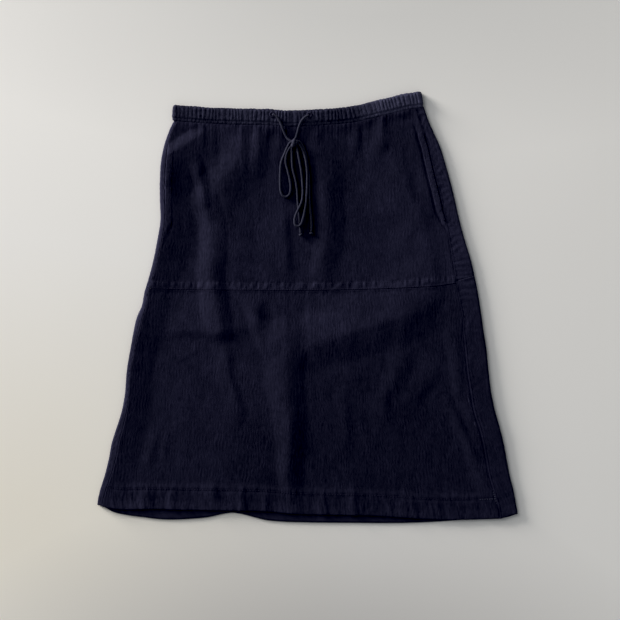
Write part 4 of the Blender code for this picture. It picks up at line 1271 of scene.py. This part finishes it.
def back_seam(zone, share):
    """The back's crosswise seam: it climbs to the right edge and drops again to the side seam."""
    left_half = between(BACK_SEAM.left, BACK_SEAM.middle, 2 * share)
    right_half = between(BACK_SEAM.middle, BACK_SEAM.edge, 2 * share - 1)
    return by_zone(
        zone, otherwise=BACK_SEAM.left,
        floor=np.where(share < 0.5, left_half, right_half),
        bend_right=BACK_SEAM.edge,
        strip_right=between(BACK_SEAM.edge, BACK_SEAM.right, share),
        under_right=BACK_SEAM.right,
    )


def back_foot(zone, share, x):
    """The back's hem. On the two strips it runs to the corners of the front's hem."""
    left_corner, right_corner = FRONT_HEM[0][1], FRONT_HEM[-1][1]
    left_edge, right_edge = BACK_HEM[0][1], BACK_HEM[-1][1]
    return by_zone(
        zone, otherwise=back_hem(x),
        under_left=left_corner,
        strip_left=between(left_corner, left_edge, share),
        strip_right=between(right_edge, right_corner, share),
        under_right=right_corner,
    )


# %% Creases in the strips by the side seams
CREASE_PITCH = 8.5
CREASE_WANDER = [Swell(6, 21, 1, 71), Swell(1.5, 7, 0.5, 73)]
CREASE_SINK = 0.6
BEND_CREASES = 0.45


def strip_creases(zone, share, y):
    """The strips are drawn up by the side seams' stitching into short crosswise creases."""
    near_seam = by_zone(zone, strip_left=1 - share, strip_right=share)
    round_bend = by_zone(zone, bend_left=1 - share, bend_right=share)
    slanted = y + 5 * near_seam + swells(y, near_seam, CREASE_WANDER)
    strength = 0.62 + 0.38 * noise(y / 19, near_seam * 1.5, 72)
    strength = strength * between(0.35, 1, soft_step((y + 40) / 60))
    creased = strength * (np.sin(2 * math.pi * slanted / CREASE_PITCH) - CREASE_SINK)
    left_line = STITCH_SINK * bump((1 - near_seam) * 14, 1.0)
    right_line = seam_line((1 - near_seam) * (strip_right(y) - loft_right(y) / 2), y)
    on_strip = between(0.45, 1, near_seam) * creased
    on_bend = BEND_CREASES * soft_step(round_bend * 1.5 - 0.5) * creased
    return by_zone(
        zone, strip_left=on_strip - left_line, strip_right=on_strip - right_line,
        bend_left=on_bend, bend_right=on_bend,
    )


# %% A panel of the back
BACK_CLOTH = 1.5
# The back's plain paleness is a little above the front's.
BACK_PALENESS = 0.65
PRESSED = 0.45
# How much paler or darker than the rest the two rolled sides are painted, from the hem to the waist:
# painted light and painted shade.
left_light_and_shade = through((-120, -60, -15, 15, 60, 100, 250), (0, -0.25, 0.45, 0.30, 0.05, 0.45, 0.45))
right_light_and_shade = through((-320, -260, -100, -35, 10, 60, 250), (-0.15, -0.18, -0.28, -0.23, -0.05, 0.12, 0.17))


def pressed_creases(girth, y, seed):
    """A few thin creases that the weight of the skirt presses into the side that rests."""
    wander = 0.5 * noise(girth / 60, y / 80, seed + 20)
    lines = bump(noise(girth / 34 + wander, y / 150, seed + 21), 0.11)
    return PRESSED * lines * soft_step(0.5 + noise(girth / 50, y / 60, seed + 22))


def back_panel(name, node, counts, down, top, foot, seed, sewing, thick):
    """A back panel's shell. Its highest ridges lie on the section, and the rest sinks in from there."""
    zone, share = section_places(counts)
    shape = (len(down), len(zone))
    zone, share = np.broadcast_to(zone, shape), np.broadcast_to(share, shape)
    v = np.asarray(down)[:, None]
    x = np.zeros(shape)
    for _ in range(PLACE_ROUNDS):
        y = between(top(zone, share, x), foot(zone, share, x), v)
        x, z = section_points(zone, share, y)
    smooth = np.stack([x, y, z], axis=-1)
    girth = np.cumsum(np.hypot(np.gradient(x, axis=1), np.gradient(z, axis=1)), axis=1)
    ridge = crinkle(girth, y, seed)
    sink = CRINKLE_RISE * (1.0 - ridge) - strip_creases(zone, share, y) + sewing(zone, share, x, y)
    sink = sink + by_zone(zone, floor=pressed_creases(girth, y, seed))
    under = by_zone(zone, under_left=1, under_right=1) > 0
    sink = np.where(under, 0.0, np.clip(sink, 0, BACK_CLOTH - 0.3))
    outer = smooth - face_directions(smooth) * sink[..., None]
    depth = np.where(under, UNDERLAP_CLOTH, BACK_CLOTH + thick(v))
    # The rolled sides take their painted light and painted shade here.
    more = by_zone(
        zone, strip_left=left_light_and_shade(y) * share, bend_left=left_light_and_shade(y),
        bend_right=right_light_and_shade(y), strip_right=right_light_and_shade(y),
    )
    # The crinkles' ridges are paler, which is wear, and their hollows darker, which is painted shade.
    lit_and_rubbed = BACK_PALENESS + 0.3 * ridge + more
    return shell(name, node, outer, smooth, depth, lit_and_rubbed)


# %% Back, upper panel
BACK_STITCH_SINK = 0.5
BACK_CREASES = 0.9


def back_gathers(x, y):
    """Creases that run down from the band on the side that rests, and soon die away."""
    below = np.maximum(waist_low(x) - y, 0)
    return BACK_CREASES * (1 - gather_wave(x, seed=36)) * np.exp(-below / SMALL_GATHERS_FADE)


def back_yoke_sewing(zone, share, x, y):
    stitched = bump(y - back_seam(zone, share) - ALLOWANCE, 1.0)
    return BACK_STITCH_SINK * stitched + back_gathers(x, y)


back_yoke = back_panel(
    "back_yoke_cloth", "back_yoke", (4, 5, 9, 440, 9, 15, 4), shares(90),
    top=lambda zone, share, x: waist_low(x) + 0.6,
    foot=lambda zone, share, x: back_seam(zone, share) + BACK_SEAM_GAP,
    seed=13,
    sewing=back_yoke_sewing,
    thick=lambda v: 0.0,
)

# %% Back, lower panel
# Its cloth is a little thicker on the last tenth of the way down, where the hem is turned up.
back_skirt = back_panel(
    "back_skirt_cloth", "back_skirt", (4, 7, 9, 545, 9, 20, 3), shares(104),
    top=lambda zone, share, x: back_seam(zone, share) - BACK_SEAM_GAP,
    foot=back_foot,
    seed=14,
    sewing=lambda zone, share, x, y: BACK_STITCH_SINK * bump(y - back_hem(x) - HEM_DEPTH, 1.2),
    thick=lambda v: 0.3 * soft_step((v - 0.91) / 0.01),
)

# %% [markdown]
# The waistband is a casing round elastic, so it is short and thick and its cloth bunches up. Laid flat
# it is one ring, folded at both ends. Each section of the ring is a tall narrow loop, and the gathers
# swell it where it faces up. A stitched line near its foot leaves a small ridge below it.

# %% A section of the waistband
BAND_END_DROP = 1.2
CASING_STITCH = 8.0
BAND_GATHER_RISE = 1.6
BAND_LOW_RISE = 0.45
BAND_GRAIN = [Swell(0.20, 2.0, 3, 44), Swell(0.22, 5, 5, 46)]
EYELETS = {"left": (-53.0, 288.6), "right": (2.5, 287.6)}
FRONT_GATHERS = 31
BACK_GATHERS = 36
FRONT_POINTS, BACK_POINTS = 26, 6


def eyelet_calm(x):
    """The gathers are held flat round each eyelet: 1 away from them."""
    nearest = min(abs(x - place[0]) for place in EYELETS.values())
    return between(0.35, 1, float(soft_step((nearest - 3) / 5)))


def band_profile(x, facing, on_front):
    """One section of the band: offsets out of the ring and along its height, in millimetres."""
    half = BAND_THICK / 2
    seed = FRONT_GATHERS if on_front else BACK_GATHERS
    tall = BAND_HEIGHT / 2 - BAND_END_DROP * math.cos(facing) ** 2
    on_top = (1 + math.sin(facing)) / 2
    heights = np.linspace(tall - 0.9, -tall + 0.5, FRONT_POINTS)
    wave = gather_wave(x + 0.12 * heights * noise(x / 15, heights / 20, 43), seed=seed)
    low_wave = gather_wave(x + 1.5 + 0.1 * heights, seed=seed + 3)
    belly = soft_step((tall - heights) / 4) * soft_step((heights + CASING_STITCH) / 3)
    below = soft_step((-CASING_STITCH - heights + 0.6) / 1.2)
    rise = wave * between(0.3, 1, belly) * (1 - below) + BAND_LOW_RISE * low_wave * below
    rise = rise * BAND_GATHER_RISE * (eyelet_calm(x) if on_front else 1.0)
    stitched = 0.22 * bump(heights + CASING_STITCH, 1.2) * on_top
    foot = 0.6 * soft_step((3.4 - tall - heights) / 3.4)
    shape = -0.75 + 0.55 * belly - stitched - foot
    front = half + (rise + shape + swells(x, heights, BAND_GRAIN)) * on_top + 0.9 * (wave - 1) * (1 - on_top)
    ruffle = 1.1 * (float(gather_wave(np.array(x + 0.7), seed=seed)) - 0.6)
    crest = tall + ruffle + 0.5 * float(noise(x / 12, 0.0, 45))
    top = [(-0.35 * half, crest - 0.15), (0.35 * half, crest - 0.05)]
    back = [(-half, height) for height in np.linspace(-tall + 1.0, tall - 1.2, BACK_POINTS)]
    return list(zip(front, heights)) + [(0.0, -tall)] + back + top


# %% Sections round the waistband
FRONT_SECTIONS, END_SECTIONS, BACK_SECTIONS = 520, 10, 260


def band_stations():
    """The band's sections in order: along the front, round, back along the table, round."""
    half_depth = (BAND_FRONT_Z - BAND_BACK_Z) / 2 + BAND_THICK / 2
    first, last = BAND_CENTRE[0][0] + half_depth, BAND_CENTRE[-1][0] - half_depth
    turns = np.linspace(0, math.pi, END_SECTIONS + 2)[1:-1]
    stations = [(x, math.pi / 2, True) for x in np.linspace(first, last, FRONT_SECTIONS)]
    stations += [(last, math.pi / 2 - turn, True) for turn in turns]
    stations += [(x, -math.pi / 2, False) for x in np.linspace(last, first, BACK_SECTIONS)]
    return stations + [(first, -math.pi / 2 - turn, False) for turn in turns]


def band_section(x, facing, on_front):
    """The points of one section, square to the band's slope."""
    slope = float(band_slope(x))
    along = np.array([1.0, slope, 0.0]) / math.hypot(1.0, slope)
    up = np.array([-along[1], along[0], 0.0])
    out = math.cos(facing) * along + np.array([0.0, 0.0, math.sin(facing)])
    reach = (BAND_FRONT_Z - BAND_BACK_Z) / 2
    middle = np.array([x, float(band_centre(x)), BAND_BACK_Z + reach]) + reach * out
    return [middle + offset * out + height * up for offset, height in band_profile(x, facing, on_front)]


# %% The waistband's mesh
# How pale the band's upper side is painted, from its left end to its right end, where it is palest:
# this is painted light, strongest on its right part.
HIDDEN_PALENESS = 0.24
band_painted_light = through(
    (-200, -150, -110, -60, 0, 40, 70, 100, 175),
    (0.24, 0.24, 0.31, 0.37, 0.30, 0.20, 0.28, 0.60, 0.70),
)
sections = np.array([band_section(*station) for station in band_stations()])
faces = ring_faces(len(sections), sections.shape[1], closed=True)
x, y, z = np.moveaxis(sections, -1, 0)
# The band's upper side takes its painted light; its hidden side keeps a plain level.
lit_and_rubbed = np.where(z > BAND_THICK, band_painted_light(x), HIDDEN_PALENESS) + 0.22 * crinkle(x * 2, y * 2, 15)
add_mesh("waistband_cloth", sections.reshape(-1, 3), faces, BAND_COTTON, lit_and_rubbed, "cotton", "waistband")
print("waistband faces:", len(faces))

# %% [markdown]
# Each pocket opens in the side seam. Its edge is a folded strip, stitched down on the front, and it is
# drawn a little wavy by its stitching.

# %% Pocket edges
WELT_ROWS = 161
WELT_COLUMNS = 16
WELT_STITCHES = {"inner": 0.84, "outer": 0.16}


def level_under_strip(x, y):
    """The cloth under an edge strip: its smooth height, its height half pressed flat, and its ridges."""
    base, ridge = yoke_surface(x, y)
    low = front_height(x, y)
    return low, low + 0.5 * np.maximum(base - low, 0), ridge


for side, pocket in POCKETS.items():
    y = np.linspace(pocket.top - 1, pocket.bottom - 1, WELT_ROWS)[:, None] + np.zeros(WELT_COLUMNS)
    share = np.linspace(0, 1, WELT_COLUMNS) + np.zeros((WELT_ROWS, 1))
    tapered = between(0.35, 1, soft_step((y - pocket.bottom + 2) / 26))
    rounded_top = soft_step((pocket.top + 1 - y) / 8)
    across = SEAM_GAP + WELT_WIDTH * tapered * between(0.7, 1, rounded_top) * share
    x = FRONT_EDGES[side](y) + pocket.inward * across
    low, level, ridge = level_under_strip(x, y)
    rounded = np.sqrt(np.clip(1 - (2 * share - 1) ** 6, 0, 1))
    stitched = sum(bump(share - place, 0.06) for place in WELT_STITCHES.values())
    puckers = 0.30 * noise(y / 3.4, share * 2, 81) * (1 - stitched)
    z = level + pocket.thick * rounded * rounded_top + puckers - STITCH_SINK * stitched
    outer, smooth = np.stack([x, y, z], axis=-1), np.stack([x, y, low], axis=-1)
    # A shell's columns run to the right, so the right pocket's are turned round.
    to_right = slice(None, None, pocket.inward)
    outer, smooth, ridge = outer[:, to_right], smooth[:, to_right], ridge[:, to_right]
    # The crinkles' ridges are paler, which is wear, and their hollows darker, which is painted shade.
    shell(f"pocket_edge_{side}", f"pocket_welt_{side}", outer, smooth, 0.3, 0.55 + 0.3 * ridge)

# %% [markdown]
# A worked eyelet is a small hole edged with close radial stitches. A flattened ring whose size ripples
# with the stitches gives each thread its own highlight.

# %% Eyelets
EYELET_OUTER = 4.4
EYELET_INNER = 2.1
EYELET_STITCHES = 30
EYELET_RIPPLE = 0.16
EYELET_RISE = 0.45
EYELET_SIDES = 10
EYELET_BASE = BAND_TOP_Z + 0.6

rounds = EYELET_STITCHES * 4
turn = np.arange(rounds)[:, None] * 2 * math.pi / rounds
spin = np.arange(EYELET_SIDES)[None, :] * 2 * math.pi / EYELET_SIDES
ripple = 1 + EYELET_RIPPLE * np.cos(EYELET_STITCHES * turn)
radius = (EYELET_OUTER + EYELET_INNER) / 2 - (EYELET_OUTER - EYELET_INNER) / 2 * ripple * np.cos(spin)
height = EYELET_BASE + EYELET_RISE * ripple * (1 + np.sin(spin))
faces = ring_faces(rounds, EYELET_SIDES, closed=True)
shade = np.broadcast_to(ripple, radius.shape)
for side, place in EYELETS.items():
    ring = np.stack([place[0] + radius * np.cos(turn), place[1] + radius * np.sin(turn), height], axis=-1)
    name = f"eyelet_stitches_{side}"
    add_mesh(name, ring.reshape(-1, 3), faces, THREAD, shade, "thread", f"eyelet_{side}")
print("eyelets:", len(EYELETS))

# %% [markdown]
# Lines of stitches hold the seam allowance, the hem, the casing and the pocket edges. Each stitch is a
# small separate bead of thread, sunk a little into its groove. They are made by one function that walks
# along a line of places and joins all the stitches of a row into one mesh. Near the right end of the
# hem a few stitches are of a paler thread.

# %% Stitching
STITCH_LENGTH = 2.3
STITCH_GAP = 1.1
STITCH_RADIUS = 0.28
STITCH_LIFT = 0.05
WALK_STEP = 0.5
BEAD_SIDES = 6
# The rings of a bead: the share of its length, and how far each swells and dips, in radii.
BEAD_RINGS = [(0, 0.45, -0.35), (0.25, 0.95, 0), (0.75, 0.95, 0), (1, 0.45, -0.35)]
BEAD_POINTS = len(BEAD_RINGS) * BEAD_SIDES


def stitch_points(start, end, radius):
    """A six-sided bead from start to end, thicker in the middle."""
    way = end - start
    length = np.linalg.norm(way)
    way = way / length
    side = np.cross(way, [0, 0, 1.0])
    side /= np.linalg.norm(side)
    up = np.cross(side, way)
    points = []
    for share, swell, dip in BEAD_RINGS:
        centre = start + way * length * share + up * dip * radius
        for k in range(BEAD_SIDES):
            turn = 2 * math.pi * k / BEAD_SIDES
            points.append(centre + radius * swell * (math.cos(turn) * side + math.sin(turn) * up))
    return points


def stitch_row(name, line, radius=STITCH_RADIUS, gap=STITCH_GAP, material=THREAD):
    """Stitches along a line of points on the cloth, as one mesh."""
    line = along_curve(line, step=WALK_STEP)
    step, reach = round((STITCH_LENGTH + gap) / WALK_STEP), round(STITCH_LENGTH / WALK_STEP)
    bead = ring_faces(len(BEAD_RINGS), BEAD_SIDES, closed=False) + end_caps(len(BEAD_RINGS), BEAD_SIDES)
    points, faces = [], []
    for start in range(0, len(line) - reach, step):
        faces += [[len(points) + k for k in face] for face in bead]
        points += stitch_points(line[start], line[start + reach], radius)
    shade = 0.5 + 0.5 * lattice(np.arange(len(points)) // BEAD_POINTS, 0, 99)
    print(name, "stitches:", len(points) // BEAD_POINTS)
    return add_mesh(name, points, faces, material, shade, "thread")


def on_surface(surface, x, y):
    """Points for stitches, a little above a panel's surface."""
    height, _ = surface(x, y)
    return np.stack([x, y, height + STITCH_LIFT], axis=1)


# %% Stitches of the seam, the hem and the right side seam's foot
x = np.linspace(front_left(35) + 3, front_right(35) - 3, 700)
stitch_row("stitches_hip_seam_upper", on_surface(yoke_surface, x, front_seam(x) + UPPER_STITCHES))
stitch_row("stitches_hip_seam_lower", on_surface(yoke_surface, x, front_seam(x) + LOWER_STITCHES))
x = np.linspace(seam_left(-270) + 4, seam_right(-285) - 34, 800)
stitch_row("stitches_hem", on_surface(skirt_surface, x, front_hem(x) + HEM_DEPTH), gap=1.5)
x = np.linspace(258, seam_right(-287) - 1.5, 60)
corner = on_surface(skirt_surface, x, front_hem(x) + HEM_DEPTH - 1)
stitch_row("stitches_hem_corner", corner, radius=0.42, material=PALE_THREAD)
y = np.linspace(-272, -297, 60)
seam_foot = on_surface(skirt_surface, seam_right(y) - 2, y)
stitch_row("stitches_side_seam_foot", seam_foot, radius=0.38, material=PALE_THREAD)

# %% Stitches of the pocket edges and the casing
for side, pocket in POCKETS.items():
    y = np.linspace(pocket.top - 8, pocket.bottom + 26, 200)
    for row, share in WELT_STITCHES.items():
        x = FRONT_EDGES[side](y) + pocket.inward * (SEAM_GAP + WELT_WIDTH * share)
        z = level_under_strip(x, y)[1] + pocket.thick - 0.2
        stitch_row(f"stitches_pocket_{side}_{row}", np.stack([x, y, z], axis=1))
x = np.linspace(BAND_CENTRE[0][0] + 6, BAND_CENTRE[-1][0] - 6, 500)
slope = band_slope(x)
down = CASING_STITCH / np.sqrt(1 + slope**2)
casing = np.stack([x + down * slope, band_centre(x) - down, 0 * x + BAND_TOP_Z - 1.0], axis=1)
stitch_row("stitches_casing", casing)

# %% [markdown]
# Lastly comes a record for the soft pieces of cloth: its fields are piece, flat, below and stitches.

# %% Soft pieces
Sheet = namedtuple("Sheet", "piece flat below stitches")
